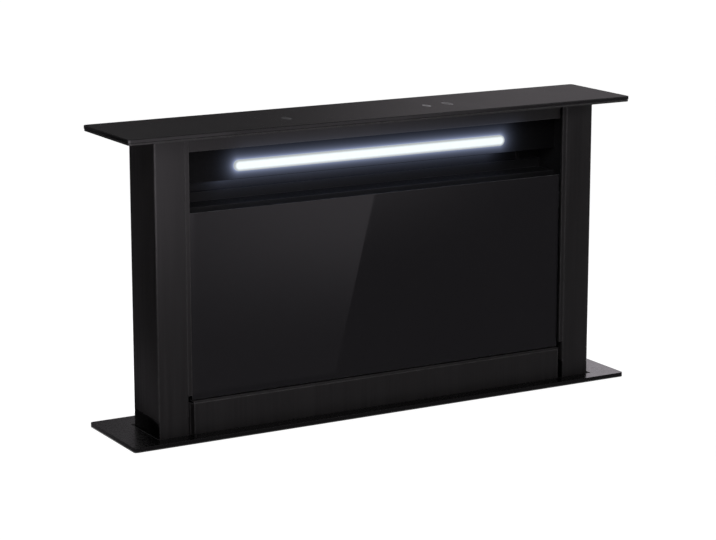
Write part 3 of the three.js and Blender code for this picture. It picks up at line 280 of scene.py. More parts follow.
def strip_outline(finish):
    """Distance from the light strip's outline across its face, negative inside it."""
    low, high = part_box("led_lens")
    middle, half = (low + high) / 2, (high - low) / 2
    core = Vector((half.x - half.z, half.y, 0))
    aside = finish.vector("ABSOLUTE", finish.vector("SUBTRACT", finish.where(), middle))
    beyond = finish.vector("MAXIMUM", finish.vector("SUBTRACT", aside, core))
    away = finish.vector("LENGTH", finish.vector("MULTIPLY", beyond, (1, 0, 1)), output="Value")
    return finish.math("SUBTRACT", away, half.z)


def spill(finish, near, far):
    """Painted light: the light strip's own bluish light painted as a glow on what stands round it, fading
    with distance from its outline.
    """
    away = finish.math("MAXIMUM", strip_outline(finish))
    parts = []
    for strength, reach in ((near, SPILL_NEAR), (far, SPILL_FAR)):
        faded = finish.math("EXPONENT", finish.math("MULTIPLY", away, -1 / reach))
        parts.append(finish.math("MULTIPLY", faded, strength))
    finish.set("Emission Color", (*SPILL_COLOUR, 1))
    finish.drive("Emission Strength", finish.math("ADD", *parts))


def matt_sheet(name, colour, tones, rough, clouds=(0.03, 4), rubbed=(0.03, 0.03, 0.032), **settings):
    """Matt black sheet inside the slot: clouded, and rubbed along its edges."""
    steel = Finish(name, colour, **settings)
    tone = steel.mix(steel.noise(*clouds), *tones)
    steel.drive("Base Color", steel.mix(steel.edges(0.0008), tone, rubbed))
    steel.drive("Roughness", steel.span(steel.noise(0.004), 0.3, 0.7, *rough))
    steel.bump(steel.noise(0.0008, 2), 0.00003, 0.0005)
    return steel


def black_steel():
    """What stands in the slot away from the light."""
    tones = (0.0048, 0.0048, 0.0052), (0.0085, 0.0085, 0.0092)
    return matt_sheet("matt_black_sheet", (0.006, 0.006, 0.0065), tones, (0.42, 0.58), specular=0.3)


def lit_housing():
    """Housing round the light strip, with the strip's light painted on it as a glow."""
    tones, rough = ((0.0022, 0.0022, 0.0027), (0.0036, 0.0036, 0.0042)), (0.52, 0.66)
    steel = matt_sheet("lit_housing", (0.003, 0.003, 0.0036), tones, rough, roughness=0.6, specular=0.12)
    spill(steel, 0.30, 0.22)
    return steel


def ledge():
    """Filter head under the light strip, its upper edge lit by a painted glow."""
    tones, rough = ((0.0060, 0.0060, 0.0068), (0.0100, 0.0100, 0.0112)), (0.44, 0.56)
    clouds, rubbed = (0.02, 4, (0.2, 1, 1)), (0.05, 0.05, 0.055)
    steel = matt_sheet("filter_head", (0.008, 0.008, 0.009), tones, rough, clouds, rubbed, specular=0.3)
    spill(steel, 0.0, 0.85)
    return steel


def lit_rail():
    """The top rail's lacquer, with the strip's light painted as a glow along its lower edge."""
    steel = lacquer("lit_lacquer")
    spill(steel, 0.0, 0.50)
    return steel


def zinc_steel():
    """Hot-dip galvanised sheet: spangle, rolling marks and a few scuffs."""
    zinc = Finish("galvanised_sheet", (0.50, 0.51, 0.53), metallic=0.85, roughness=0.42)
    spangle = zinc.node("ShaderNodeSeparateColor", {0: zinc.cells(0.011, output="Color")}).outputs[0]
    tone = zinc.mix(spangle, (0.40, 0.41, 0.43), (0.60, 0.61, 0.625))
    dull = zinc.mix(zinc.span(zinc.noise(0.09, 5), 0.45, 0.75, 0, 0.5), tone, (0.44, 0.44, 0.45))
    scuffs = zinc.span(zinc.noise(0.002, 2, (1, 1, 0.06)), 0.66, 0.74, 0, 0.35)
    marked = zinc.mix(scuffs, dull, (0.68, 0.69, 0.70))
    zinc.drive("Base Color", zinc.mix(zinc.edges(0.0008), marked, (0.74, 0.75, 0.76)))
    handled = zinc.span(zinc.noise(0.02), 0.3, 0.7, 0, 0.1)
    zinc.drive("Roughness", zinc.math("ADD", zinc.span(spangle, 0, 1, 0.30, 0.46), handled))
    zinc.bump(zinc.cells(0.011, "DISTANCE_TO_EDGE"), 0.00004, 0.0005)
    return zinc


def bright_steel():
    """Ground and turned steel with a light oil film."""
    steel = Finish("turned_steel", (0.60, 0.61, 0.62), metallic=1.0, roughness=0.28)
    tone = steel.mix(steel.noise(0.02, 4), (0.52, 0.53, 0.54), (0.66, 0.67, 0.68))
    steel.drive("Base Color", steel.mix(steel.edges(0.0005), tone, (0.8, 0.8, 0.8)))
    steel.drive("Roughness", steel.span(steel.noise(0.0008, 2, (0.05, 1, 1)), 0.3, 0.7, 0.2, 0.36))
    steel.bump(steel.noise(0.0005, 2, (0.05, 1, 1)), 0.00001, 0.0003)
    return steel


def aluminium():
    """Brushed and clear-anodised aluminium."""
    metal = Finish("anodised_aluminium", (0.62, 0.63, 0.64), metallic=1.0, roughness=0.36)
    tone = metal.mix(metal.noise(0.001, 3, (1, 1, 0.02)), (0.54, 0.55, 0.56), (0.68, 0.69, 0.70))
    metal.drive("Base Color", metal.mix(metal.edges(0.0006), tone, (0.78, 0.79, 0.80)))
    metal.drive("Roughness", metal.span(metal.noise(0.03), 0.3, 0.7, 0.3, 0.42))
    metal.bump(metal.noise(0.0007, 2, (1, 1, 0.02)), 0.000015)
    return metal


def black_plastic():
    """Moulded glass-filled plastic with a spark-eroded grain."""
    plastic = Finish("moulded_black", (0.013, 0.013, 0.014), specular=0.45)
    tone = plastic.mix(plastic.noise(0.04, 4), (0.010, 0.010, 0.011), (0.019, 0.019, 0.020))
    plastic.drive("Base Color", plastic.mix(plastic.edges(0.0009), tone, (0.045, 0.045, 0.047)))
    plastic.drive("Roughness", plastic.span(plastic.noise(0.012), 0.3, 0.7, 0.42, 0.58))
    plastic.bump(plastic.noise(0.0007, 3), 0.00006, 0.0008)
    return plastic


def white_plastic():
    """Acetal: slightly waxy, with moulding flow in it."""
    plastic = Finish("acetal", (0.70, 0.70, 0.67), roughness=0.42)
    plastic.drive("Base Color", plastic.mix(plastic.noise(0.02, 4), (0.64, 0.64, 0.61), (0.74, 0.74, 0.71)))
    plastic.drive("Roughness", plastic.span(plastic.noise(0.005), 0.3, 0.7, 0.36, 0.5))
    plastic.bump(plastic.noise(0.001, 2), 0.00003)
    return plastic


def rubber():
    """Black sealing rubber, chalky in its folds."""
    soft = Finish("seal_rubber", (0.006, 0.006, 0.006), roughness=0.72, specular=0.3)
    soft.drive("Base Color", soft.mix(soft.noise(0.008, 4), (0.005, 0.005, 0.005), (0.012, 0.012, 0.012)))
    soft.drive("Roughness", soft.span(soft.noise(0.003), 0.3, 0.7, 0.62, 0.85))
    soft.bump(soft.noise(0.0006, 3), 0.00005, 0.0005)
    return soft


def light():
    """Opal light strip: even in the middle, weaker towards its rim."""
    opal = Finish("opal_light", (0.05, 0.05, 0.055), roughness=0.3)
    rims = opal.span(strip_outline(opal), 0.0, -STRIP_RIM_W, STRIP_RIM, 1)
    grain = opal.span(opal.noise(0.004), 0.3, 0.7, 0.97, 1.0)
    opal.set("Emission Color", (0.92, 0.99, 1.0, 1))
    opal.drive("Emission Strength", opal.math("MULTIPLY", rims, grain))
    opal.bump(opal.noise(0.001, 2), 0.00001)
    return opal


FINISHES = {
    "dark_glass": dark_glass().material,
    "dark_steel": lacquer("dark_lacquer").material,
    "black_steel": black_steel().material,
    "zinc_steel": zinc_steel().material,
    "bright_steel": bright_steel().material,
    "aluminium": aluminium().material,
    "black_plastic": black_plastic().material,
    "white_plastic": white_plastic().material,
    "rubber": rubber().material,
    "light": light().material,
}
# the uprights take the band of painted shade just above the trim
uprights = lacquer("upright_lacquer", 0.0022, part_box("trim_flange")[1].z + PAINTED_SHADE_H).material
OWN_FINISH = {
    "lid_glass": lid_glass().material,
    "upright_left": uprights,
    "upright_right": uprights,
    "trim_flange": trim_lacquer().material,
    "light_housing": lit_housing().material,
    "top_rail": lit_rail().material,
    "filter_head": ledge().material,
}

# ---------- CAD nodes

SMOOTH_BELOW = 28  # degrees between two faces


def smooth_by_angle(limit):
    """A modifier's node group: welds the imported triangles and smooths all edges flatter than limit."""
    group = bpy.data.node_groups.new("smooth_by_angle", "GeometryNodeTree")
    group.interface.new_socket("Geometry", in_out="INPUT", socket_type="NodeSocketGeometry")
    group.interface.new_socket("Geometry", in_out="OUTPUT", socket_type="NodeSocketGeometry")
    made = {}
    for key, kind in (
        ("start", "NodeGroupInput"),
        ("weld", "GeometryNodeMergeByDistance"),
        ("faces", "GeometryNodeSetShadeSmooth"),
        ("sharp", "GeometryNodeSetShadeSmooth"),
        ("angle", "GeometryNodeInputMeshEdgeAngle"),
        ("above", "FunctionNodeCompare"),
        ("end", "NodeGroupOutput"),
    ):
        made[key] = group.nodes.new(kind)
    made["weld"].inputs["Distance"].default_value = WELD
    made["sharp"].domain = "EDGE"
    made["sharp"].inputs["Shade Smooth"].default_value = False
    made["above"].operation = "GREATER_THAN"
    made["above"].inputs["B"].default_value = limit
    for a, a_socket, b, b_socket in (
        ("start", "Geometry", "weld", "Geometry"),
        ("weld", "Geometry", "faces", "Geometry"),
        ("faces", "Geometry", "sharp", "Geometry"),
        ("angle", "Unsigned Angle", "above", "A"),
        ("above", "Result", "sharp", "Selection"),
        ("sharp", "Geometry", "end", "Geometry"),
    ):
        group.links.new(made[a].outputs[a_socket], made[b].inputs[b_socket])
    return group


SMOOTH = smooth_by_angle(math.radians(SMOOTH_BELOW))


def smooth(obj):
    custom = obj.data.attributes.get("custom_normal")
    if custom:
        obj.data.attributes.remove(custom)
    obj.modifiers.new("smooth", "NODES").node_group = SMOOTH


def dress_nodes():
    for row in frame["record"]["subparts"]:
        node = frame["nodes"][row["node"]]
        finish = OWN_FINISH.get(row["node"], FINISHES[row["material_slot"]])
        node.data.materials.clear()
        node.data.materials.append(finish)
        smooth(node)


# ---------- outlines and solids for small pieces

AXES = {"x": (0, (1, 2)), "y": (1, (0, 2)), "z": (2, (0, 1))}  # normal, and the two axes of its plane


def new_mesh(name, build, material):
    """A mesh object whose geometry build(bm) makes."""
    bm = bmesh.new()
    build(bm)
    bmesh.ops.recalc_face_normals(bm, faces=bm.faces)
    mesh = bpy.data.meshes.new(name)
    bm.to_mesh(mesh)
    bm.free()
    mesh.materials.append(material)
    obj = bpy.data.objects.new(name, mesh)
    bpy.context.scene.collection.objects.link(obj)
    return obj


def piece(name, build, slot, body="casing"):
    """A named piece that rides on a body and takes a slot's finish."""
    obj = new_mesh(name, build, FINISHES[slot])
    smooth(obj)
    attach(obj, body)
    return obj


def on_plane(axis, at, u, v):
    """The point u, v of the plane that lies across axis at that place."""
    normal, (first, second) = AXES[axis]
    point = [0.0, 0.0, 0.0]
    point[normal], point[first], point[second] = at, u, v
    return Vector(point)


def evenly(low, high, count):
    return [low + (high - low) * i / (count - 1) for i in range(count)]


def arc(centre, radius, start, end, steps):
    """Points on a circle from start to end degrees."""
    turns = [math.radians(start + (end - start) * i / steps) for i in range(steps + 1)]
    return [(centre[0] + radius * math.cos(t), centre[1] + radius * math.sin(t)) for t in turns]


def ring(centre, radius, steps=64):
    return arc(centre, radius, 0, 360, steps)[:-1]


def rounded_box(u0, u1, v0, v1, radius, steps=5):
    corners = ((u1, v1, 0), (u0, v1, 90), (u0, v0, 180), (u1, v0, 270))
    loop = []
    for u, v, start in corners:
        centre = (u - math.copysign(radius, u - (u0 + u1) / 2), v - math.copysign(radius, v - (v0 + v1) / 2))
        loop += arc(centre, radius, start, start + 90, steps)
    return loop


def cut_loop(name, axis, at):
    """Outer loop of a CAD node where a plane across axis cuts it, as 2-D points."""
    bm = bmesh.new()
    bm.from_mesh(frame["nodes"][name].data)
    bmesh.ops.remove_doubles(bm, verts=bm.verts, dist=WELD)
    normal, (first, second) = AXES[axis]
    across = Vector([float(i == normal) for i in range(3)])
    everything = bm.verts[:] + bm.edges[:] + bm.faces[:]
    cut = bmesh.ops.bisect_plane(bm, geom=everything, plane_co=across * at, plane_no=across)["geom_cut"]
    edges = {e for e in cut if isinstance(e, bmesh.types.BMEdge)}
    loops = []
    while edges:
        edge = min(edges, key=lambda e: e.index)
        vert, loop = edge.verts[0], []
        while edge is not None:
            edges.discard(edge)
            loop.append((vert.co[first], vert.co[second]))
            vert = edge.other_vert(vert)
            edge = next((e for e in vert.link_edges if e in edges), None)
        loops.append(loop)
    bm.free()
    return max(loops, key=lambda loop: max(p[0] for p in loop) - min(p[0] for p in loop))


def outward(loop, closed=True):
    """Unit normals that point out of a loop of 2-D points, turned right from its direction of travel."""
    count = len(loop)
    area = sum(a[0] * b[1] - b[0] * a[1] for a, b in zip(loop, loop[1:] + loop[:1]))
    side = 1 if area > 0 else -1
    normals = []
    for i in range(count):
        before = loop[i - 1] if closed or i > 0 else loop[i]
        after = loop[(i + 1) % count] if closed or i < count - 1 else loop[i]
        along = Vector((after[0] - before[0], after[1] - before[1])).normalized()
        normals.append(Vector((along.y, -along.x)) * side)
    return normals


def skin(bm, rows):
    """Faces between each row of points and the next."""
    for a, b in zip(rows, rows[1:]):
        for k in range(len(a)):
            after = (k + 1) % len(a)
            bm.faces.new((a[k], a[after], b[after], b[k]))


def strip(bm, loop, axis, at, section, closed=True):
    """Sweeps section, points (outwards, along the axis), along a loop of 2-D points in a plane."""
    rows = []
    for (u, v), normal in zip(loop, outward(loop, closed)):
        points = [on_plane(axis, at + rise, u + normal.x * out, v + normal.y * out) for out, rise in section]
        rows.append([bm.verts.new(p) for p in points])
    skin(bm, rows + rows[:1] if closed else rows)
    if not closed:
        bm.faces.new(rows[0])
        bm.faces.new(rows[-1])


def flat_section(width, back, front):
    """Section of a flat bar that stands out by width."""
    return [(0, back), (width, back), (width, front), (0, front)]


BEAD_STEPS = 6


def bead_section(width, height):
    """Half-round pressed bead standing on a face. A negative height stands towards lower values."""
    turns = [math.pi * i / BEAD_STEPS for i in range(BEAD_STEPS + 1)]
    return [(math.cos(t) * width / 2, math.sin(t) * height) for t in turns]


def joined(bm, near, far):
    """A closed solid between two outlines with as many points each."""
    rows = [[bm.verts.new(p) for p in outline] for outline in (near, far)]
    for row in rows:
        bm.faces.new(row)
    skin(bm, rows)


def rib(bm, centre, degrees, half, outline):
    """A plate standing out from an axis along Y, in that direction: outline is (radius, y)."""
    turn = math.radians(degrees)
    out, aside = Vector((math.cos(turn), math.sin(turn))), Vector((-math.sin(turn), math.cos(turn)))
    sides = []
    for share in (-half, half):
        sides.append([on_plane("y", y, *(Vector(centre) + out * r + aside * share)) for r, y in outline])
    joined(bm, *sides)


def block(bm, low, high):
    """A box between two corners."""
    made = bmesh.ops.create_cube(bm, size=1)["verts"]
    for v in made:
        v.co = Vector([lo + (c + 0.5) * (hi - lo) for lo, hi, c in zip(low, high, v.co)])


# ---------- screws

SHEET_SCREW_R = 0.0036
SHEET_SCREW_H = 0.0018
FLUSH_H = 0.0003  # of heads that the wiper passes
MOTOR_SCREW_R = 0.0034
OUTLET_SCREW_R = 0.0030
SCREW_SIDES = 24
HEAD = ((1.0, 0.0), (1.0, 0.3), (0.88, 0.75), (0.6, 1.0))  # shares of the radius and of the height
RECESS_ARM, RECESS_HALF = 0.52, 0.13  # of the cross in it, as shares of the radius
RECESS_FLOOR = 0.35  # share of the height


def cross_reach(turn, arm, half):
    """Radius of a cross recess in the direction turn."""
    aside = abs((math.degrees(turn) + 45) % 90 - 45)
    return min(arm, half / max(math.sin(math.radians(aside)), 1e-6))


def screw(bm, at, facing, radius=SHEET_SCREW_R, height=SHEET_SCREW_H):
    """Pan head with a cross recess, on the face at that point."""
    place = Matrix.Translation(at) @ facing.to_track_quat("Z", "Y").to_matrix().to_4x4()
    turns = [math.radians(i * 360 / SCREW_SIDES) for i in range(SCREW_SIDES)]
    cross = [cross_reach(t, RECESS_ARM * radius, RECESS_HALF * radius) for t in turns]
    outlines = [([share * radius] * SCREW_SIDES, rise) for share, rise in HEAD]
    outlines += [(cross, rise) for rise in (1.0, RECESS_FLOOR)]
    rows = []
    for radii, rise in outlines:
        points = [(r * math.cos(t), r * math.sin(t), rise * height) for r, t in zip(radii, turns)]
        rows.append([bm.verts.new(place @ Vector(p)) for p in points])
    skin(bm, rows)
    bm.faces.new(rows[-1])
    bm.faces.new(rows[0])


def screws(name, axis, at, points, sign, body="casing", **size):
    """A piece: screws at points of the plane across axis, facing up or down that axis."""
    def build(bm):
        for point in points:
            screw(bm, on_plane(axis, at, *point), on_plane(axis, sign, 0, 0), **size)

    piece(name, build, "bright_steel", body)


# ---------- blower

SEAM_OUT, SEAM_HALF = 0.0045, 0.002  # flange round the middle of the blower's housing
CLIP_EVERY = 9  # points of the housing's outline
CLIP_HALF, CLIP_T, CLIP_REACH = 0.006, 0.0012, 0.005  # along the seam, off it, and across it each way
RIB_R = (0.0615, 0.0965)  # on the housing's face, round the motor
RIB_H, RIB_HALF = 0.004, 0.0012
RIB_STEP = 20  # degrees, for the motor's fins too
RIM_R, RIM_W = 0.0985, 0.0024  # round the ribs' outer ends
FIN = (  # outline of a fin: radius, and distance behind the motor's cap
    (0.0435, 0.0112), (0.0435, 0.0045), (0.0465, 0.0045), (0.0530, 0.0085), (0.0530, 0.0112)
)
FIN_HALF = 0.0014
MOTOR_FLANGE = 0.0109  # behind the motor's cap
MOTOR_SCREWS, MOTOR_SCREWS_R = 6, 0.0560
OUTLET_FLANGE_T = 0.004
LIP_W, LIP_CORNER = 0.007, 0.003  # of both flanges at the duct's mouth


def mouth_flange(bm, at, back, front):
    """Flange from the casing over, before and under the duct's mouth."""
    low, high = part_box("duct_adapter")
    top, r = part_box("blower_housing")[1].z, LIP_CORNER
    bottom = low.z + high.z - top
    path = [(high.y, top)]
    path += arc((low.y + r, top - r), r, 90, 180, 5) + arc((low.y + r, bottom + r), r, 180, 270, 5)
    path += [(high.y, bottom)]
    strip(bm, path, "x", at, flat_section(LIP_W, back, front), closed=False)


def blower_pieces():
    low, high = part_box("blower_housing")
    motor_low, motor_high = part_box("blower_motor")
    centre = ((motor_low.x + motor_high.x) / 2, (motor_low.z + motor_high.z) / 2)
    middle = (low.y + high.y) / 2
    loop = cut_loop("blower_housing", "y", middle)
    outlet = [i for i, p in enumerate(loop) if p[0] > high.x - ON_FACE]
    start = next(i for i in outlet if loop[(i + 1) % len(loop)][0] < high.x - ON_FACE)
    scroll = loop[start:] + loop[:start]

    def seam(bm):
        strip(bm, scroll, "y", middle, flat_section(SEAM_OUT, -SEAM_HALF, SEAM_HALF), closed=False)

    def clips(bm):
        section = flat_section(CLIP_T, -CLIP_REACH, CLIP_REACH)
        for near, far in zip(scroll[::CLIP_EVERY], scroll[1::CLIP_EVERY]):
            along = (Vector(far) - Vector(near)).normalized()
            foot = Vector(near) + outward([near, far, centre])[0] * SEAM_OUT
            ends = [tuple(foot - along * CLIP_HALF), tuple(foot + along * CLIP_HALF)]
            strip(bm, ends, "y", middle, section, closed=False)

    def ribs(bm):
        inner, outer = RIB_R
        head = low.y - RIB_H
        for turn in range(0, 360, RIB_STEP):
            rib(bm, centre, turn, RIB_HALF, [(inner, low.y), (inner, head), (outer, head), (outer, low.y)])
        strip(bm, ring(centre, RIM_R), "y", low.y, flat_section(-RIM_W, 0, -RIB_H))

    def fins(bm):
        outline = [(r, motor_low.y + behind) for r, behind in FIN]
        for turn in range(RIB_STEP // 2, 360, RIB_STEP):
            rib(bm, centre, turn, FIN_HALF, outline)

    def outlet_flange(bm):
        mouth_flange(bm, high.x, -OUTLET_FLANGE_T, 0.0)

    piece("blower_seam", seam, "black_plastic")
    piece("blower_clips", clips, "bright_steel")
    piece("blower_ribs", ribs, "black_plastic")
    piece("blower_outlet_flange", outlet_flange, "black_plastic")
    piece("motor_fins", fins, "zinc_steel")
    around = ring(centre, MOTOR_SCREWS_R, MOTOR_SCREWS)
    screws("screws_motor", "y", motor_low.y + MOTOR_FLANGE, around, -1, radius=MOTOR_SCREW_R)


# ---------- duct adapter

DUCT_WALL = 0.0015
TAPER_L = 0.045  # from the square mouth to the round collar
TAPER_ROWS = 11
COLLAR_BEAD = (0.007, 0.0008)  # width and height of the beads that hold the gasket
BEAD_OFF = 0.012  # from the gasket's middle
GASKET = ((0.0, -0.004), (0.0022, -0.0035), (0.0030, 0), (0.0022, 0.0035), (0.0, 0.004))
GASKET_BACK, GASKET_SUNK = 0.024, 0.0005  # from the collar's end, and into its face
COLLAR_SIDES, CORNER_STEPS = 96, 20
OUTLET_SCREW_ENDS = (0.016, 0.020)  # from the flange's corners, before and beside the casing


def duct_pieces():
    low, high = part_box("duct_adapter")
    centre = ((low.y + high.y) / 2, (low.z + high.z) / 2)
    radius = (high.z - low.z) / 2
    halves = ((high.y - low.y) / 2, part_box("blower_housing")[1].z - centre[1])
    gasket_x = high.x - GASKET_BACK

    def row(bm, x, share, inset):
        """Outline at x: the square mouth where share is 0 and the round collar where it is 1."""
        eased = share * share * (3 - 2 * share)
        half_y, half_z, corner = (a + (radius - a) * eased - inset for a in (*halves, 2 * DUCT_WALL))
        sides = (centre[0] - half_y, centre[0] + half_y, centre[1] - half_z, centre[1] + half_z)
        return [bm.verts.new(on_plane("x", x, *p)) for p in rounded_box(*sides, corner, CORNER_STEPS)]

    def shell(bm):
        taper = [(low.x + TAPER_L * share, share) for share in evenly(0, 1, TAPER_ROWS)]
        rows = [row(bm, x, share, 0) for x, share in taper]
        for bead in (gasket_x - BEAD_OFF, gasket_x + BEAD_OFF):
            rows += [row(bm, bead + along, 1, -rise) for along, rise in bead_section(*COLLAR_BEAD)[::-1]]
        rows += [row(bm, high.x, 1, inset) for inset in (0, DUCT_WALL)]
        rows += [row(bm, x, share, DUCT_WALL) for x, share in taper[::-1]]
        skin(bm, rows + rows[:1])
        bmesh.ops.remove_doubles(bm, verts=bm.verts, dist=WELD)

    def flange(bm):
        mouth_flange(bm, low.x, 0.0, DUCT_WALL)

    def gasket(bm):
        strip(bm, ring(centre, radius - GASKET_SUNK, COLLAR_SIDES), "x", gasket_x, GASKET)
        for v in bm.verts:
            v.co.y = min(v.co.y, high.y)  # pressed flat where the collar passes the casing

    shape = piece("duct_adapter_shell", shell, "zinc_steel")
    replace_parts(shape, "duct_adapter")
    piece("duct_adapter_flange", flange, "zinc_steel")
    piece("collar_gasket", gasket, "rubber")
    before, beside = OUTLET_SCREW_ENDS
    top, bottom = centre[1] + halves[1] + LIP_W / 2, centre[1] - halves[1] - LIP_W / 2
    rows = [(y, z) for y in evenly(low.y + before, high.y - beside, 3) for z in (top, bottom)]
    rows += [(low.y - LIP_W / 2, z) for z in (bottom + beside, top - beside)]
    screws("screws_outlet", "x", low.x + DUCT_WALL, rows, 1, radius=OUTLET_SCREW_R)


# ---------- casing and electronics box

CASING_BEAD = (0.009, 0.0022)  # width and height
SIDE_BEAD = (0.007, 0.002)
REAR_BEADS, REAR_CORNER = (0.040, 0.075), 0.03  # insets of the two loops
FRONT_BEAD_IN, FRONT_CORNER = (0.03, 0.045, 0.035), 0.02  # from the box, the right edge and the head
FRONT_BEAD_FOOT = 0.350
SIDE_BEAD_IN, SIDE_CORNER = (0.02, 0.09, 0.05), 0.012  # from the edges, the foot and the head
SCREW_EDGE = 0.010  # from a panel's edges
SIDE_SCREW_EDGE = 0.008
ACROSS, UP, UP_REAR = 7, 6, 5  # screws in a panel's rows and columns
FRONT_FREE, REAR_FREE = 0.09, 0.1  # over the front's columns, and at both ends of the rear's
SIDES = (("casing_right", 1), ("casing_left", -1))  # and the side that each faces
LID_INSET = 0.006
LID_RIM = (-0.003, 0, -0.0015)  # inwards, and off the box's face
HOOD = ((0.0, 0.0), (-0.0034, 0.0), (-0.0034, 0.0008), (-0.0012, 0.0058), (0.0, 0.0066))  # y, z
HOODS_Z, HOODS = (0.032, 0.080), 5  # over the box's foot
HOOD_END = 0.036
CONTROL_SCREW_EDGE = 0.015


def outer_face(panel, sign):
    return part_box(panel)[sign > 0].x


def casing_pieces():
    low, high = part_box("casing_front")
    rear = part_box("casing_rear")[1].y
    left, right = low.x + SCREW_EDGE, high.x - SCREW_EDGE
    bottom, top = low.z + SCREW_EDGE, high.z - SCREW_EDGE

    def front_bead(bm):
        beside, edge, head = FRONT_BEAD_IN
        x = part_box("control_box")[1].x + beside
        loop = rounded_box(x, high.x - edge, FRONT_BEAD_FOOT, high.z - head, FRONT_CORNER)
        width, height = CASING_BEAD
        strip(bm, loop, "y", low.y, bead_section(width, -height))

    def rear_beads(bm):
        for inset in REAR_BEADS:
            loop = rounded_box(low.x + inset, high.x - inset, low.z + inset, high.z - inset, REAR_CORNER)
            strip(bm, loop, "y", rear, bead_section(*CASING_BEAD))

    def side_beads(bm):
        width, height = SIDE_BEAD
        edge, foot, head = SIDE_BEAD_IN
        for panel, sign in SIDES:
            a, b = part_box(panel)
            loop = rounded_box(a.y + edge, b.y - edge, a.z + foot, b.z - head, SIDE_CORNER)
            strip(bm, loop, "x", outer_face(panel, sign), bead_section(width, height * sign))

    piece("casing_front_bead", front_bead, "zinc_steel")
    piece("casing_rear_beads", rear_beads, "zinc_steel")
    piece("casing_side_beads", side_beads, "zinc_steel")

    rows = [(x, top) for x in evenly(left, right, ACROSS)]
    rows += [(x, z) for x in (left, right) for z in evenly(bottom, top - FRONT_FREE, UP)]
    screws("screws_casing_front", "y", low.y, rows, -1)
    rows = [(x, z) for x in evenly(left, right, ACROSS) for z in (bottom, top)]
    rows += [(x, z) for x in (left, right) for z in evenly(bottom + REAR_FREE, top - REAR_FREE, UP_REAR)]
    screws("screws_casing_rear", "y", rear, rows, 1)
    for panel, sign in SIDES:
        a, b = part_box(panel)
        edges = (a.y + SIDE_SCREW_EDGE, b.y - SIDE_SCREW_EDGE)
        rows = [(y, z) for y in edges for z in evenly(bottom, top, UP)]
        screws(f"screws_{panel}", "x", outer_face(panel, sign), rows, sign)


def control_pieces():
    low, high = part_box("control_box")

    def inset_sides(inset):
        return low.x + inset, high.x - inset, low.z + inset, high.z - inset

    def lid(bm):
        strip(bm, rounded_box(*inset_sides(LID_INSET), LID_INSET), "y", low.y, flat_section(*LID_RIM))

    def louvres(bm):
        for z in evenly(*(low.z + up for up in HOODS_Z), HOODS):
            ends = (low.x + HOOD_END, high.x - HOOD_END)
            joined(bm, *([Vector((x, low.y + out, z + up)) for out, up in HOOD] for x in ends))

    piece("control_lid_rim", lid, "black_plastic")
    piece("control_louvres", louvres, "black_plastic")
    x0, x1, z0, z1 = inset_sides(CONTROL_SCREW_EDGE)
    screws("screws_control", "y", low.y, [(x, z) for x in (x0, x1) for z in (z0, z1)], -1)


# ---------- column

SHEET_CORNER = 0.001
FIELD_INSET, FIELD_FOOT, FIELD_CORNER = 0.040, 0.030, 0.024  # of the groove's outer edge on the back sheet
GROOVE = ((0.0, 0), (0.002, 0.0016), (0.006, 0.0016), (0.008, 0))  # inwards from that edge, and depth
REAR_FOOT = WORKTOP_Z + 0.03  # of what shows of the back sheet above the trim
SHEET_SCREWS_IN = (0.014, 0.012, 0.08)  # from the sides, and row and columns from the head
STILE_LIP_Y = (0.0006, 0.0036)  # behind the stiles' faces
STILE_LIP_Z = (0.0003, -0.0002)  # over the bottom rail, and from the stiles' heads
GLASS_GAP, STILE_OVERLAP = 0.0012, 0.0004


def column_pieces():
    low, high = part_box("rear_panel")

    def swaged(bm):
        """Back sheet with a groove pressed in round its field; its outside stays flat for the wiper."""
        outlines = [(0, rounded_box(low.x, high.x, low.z, high.z, SHEET_CORNER))]
        for inward, depth in GROOVE:
            edge = FIELD_INSET + inward
            sides = (low.x + edge, high.x - edge, REAR_FOOT + FIELD_FOOT + inward, high.z - edge)
            outlines.append((depth, rounded_box(*sides, FIELD_CORNER - inward)))
        outside, inside = (
            [[bm.verts.new(on_plane("y", face - depth, *p)) for p in loop] for depth, loop in outlines]
            for face in (high.y, low.y)
        )
        rows = outside[::-1] + inside
        bm.faces.new(rows[0])
        bm.faces.new(rows[-1])
        skin(bm, rows)

    def lips(bm):
        """Returned inner edges of the two stiles, beside the glass."""
        stile_low, stile_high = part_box("upright_left")
        y0, y1 = (stile_low.y + behind for behind in STILE_LIP_Y)
        z0, z1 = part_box("lower_front")[1].z + STILE_LIP_Z[0], stile_high.z + STILE_LIP_Z[1]
        near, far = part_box("glass_panel")[1].x + GLASS_GAP, -stile_high.x + STILE_OVERLAP
        for side in (-1, 1):
            x0, x1 = sorted((side * near, side * far))
            block(bm, (x0, y0, z0), (x1, y1, z1))

    piece("stile_lips", lips, "dark_steel", "column")
    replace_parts(piece("rear_panel_sheet", swaged, "dark_steel", "column"), "rear_panel")
    side, head, free = SHEET_SCREWS_IN
    left, right = low.x + side, high.x - side
    rows = [(x, high.z - head) for x in evenly(left, right, 6)]
    rows += [(x, z) for x in (left, right) for z in evenly(REAR_FOOT, high.z - free, 4)]
    screws("screws_rear_panel", "y", high.y, rows, 1, "column", height=FLUSH_H)


# ---------- studio

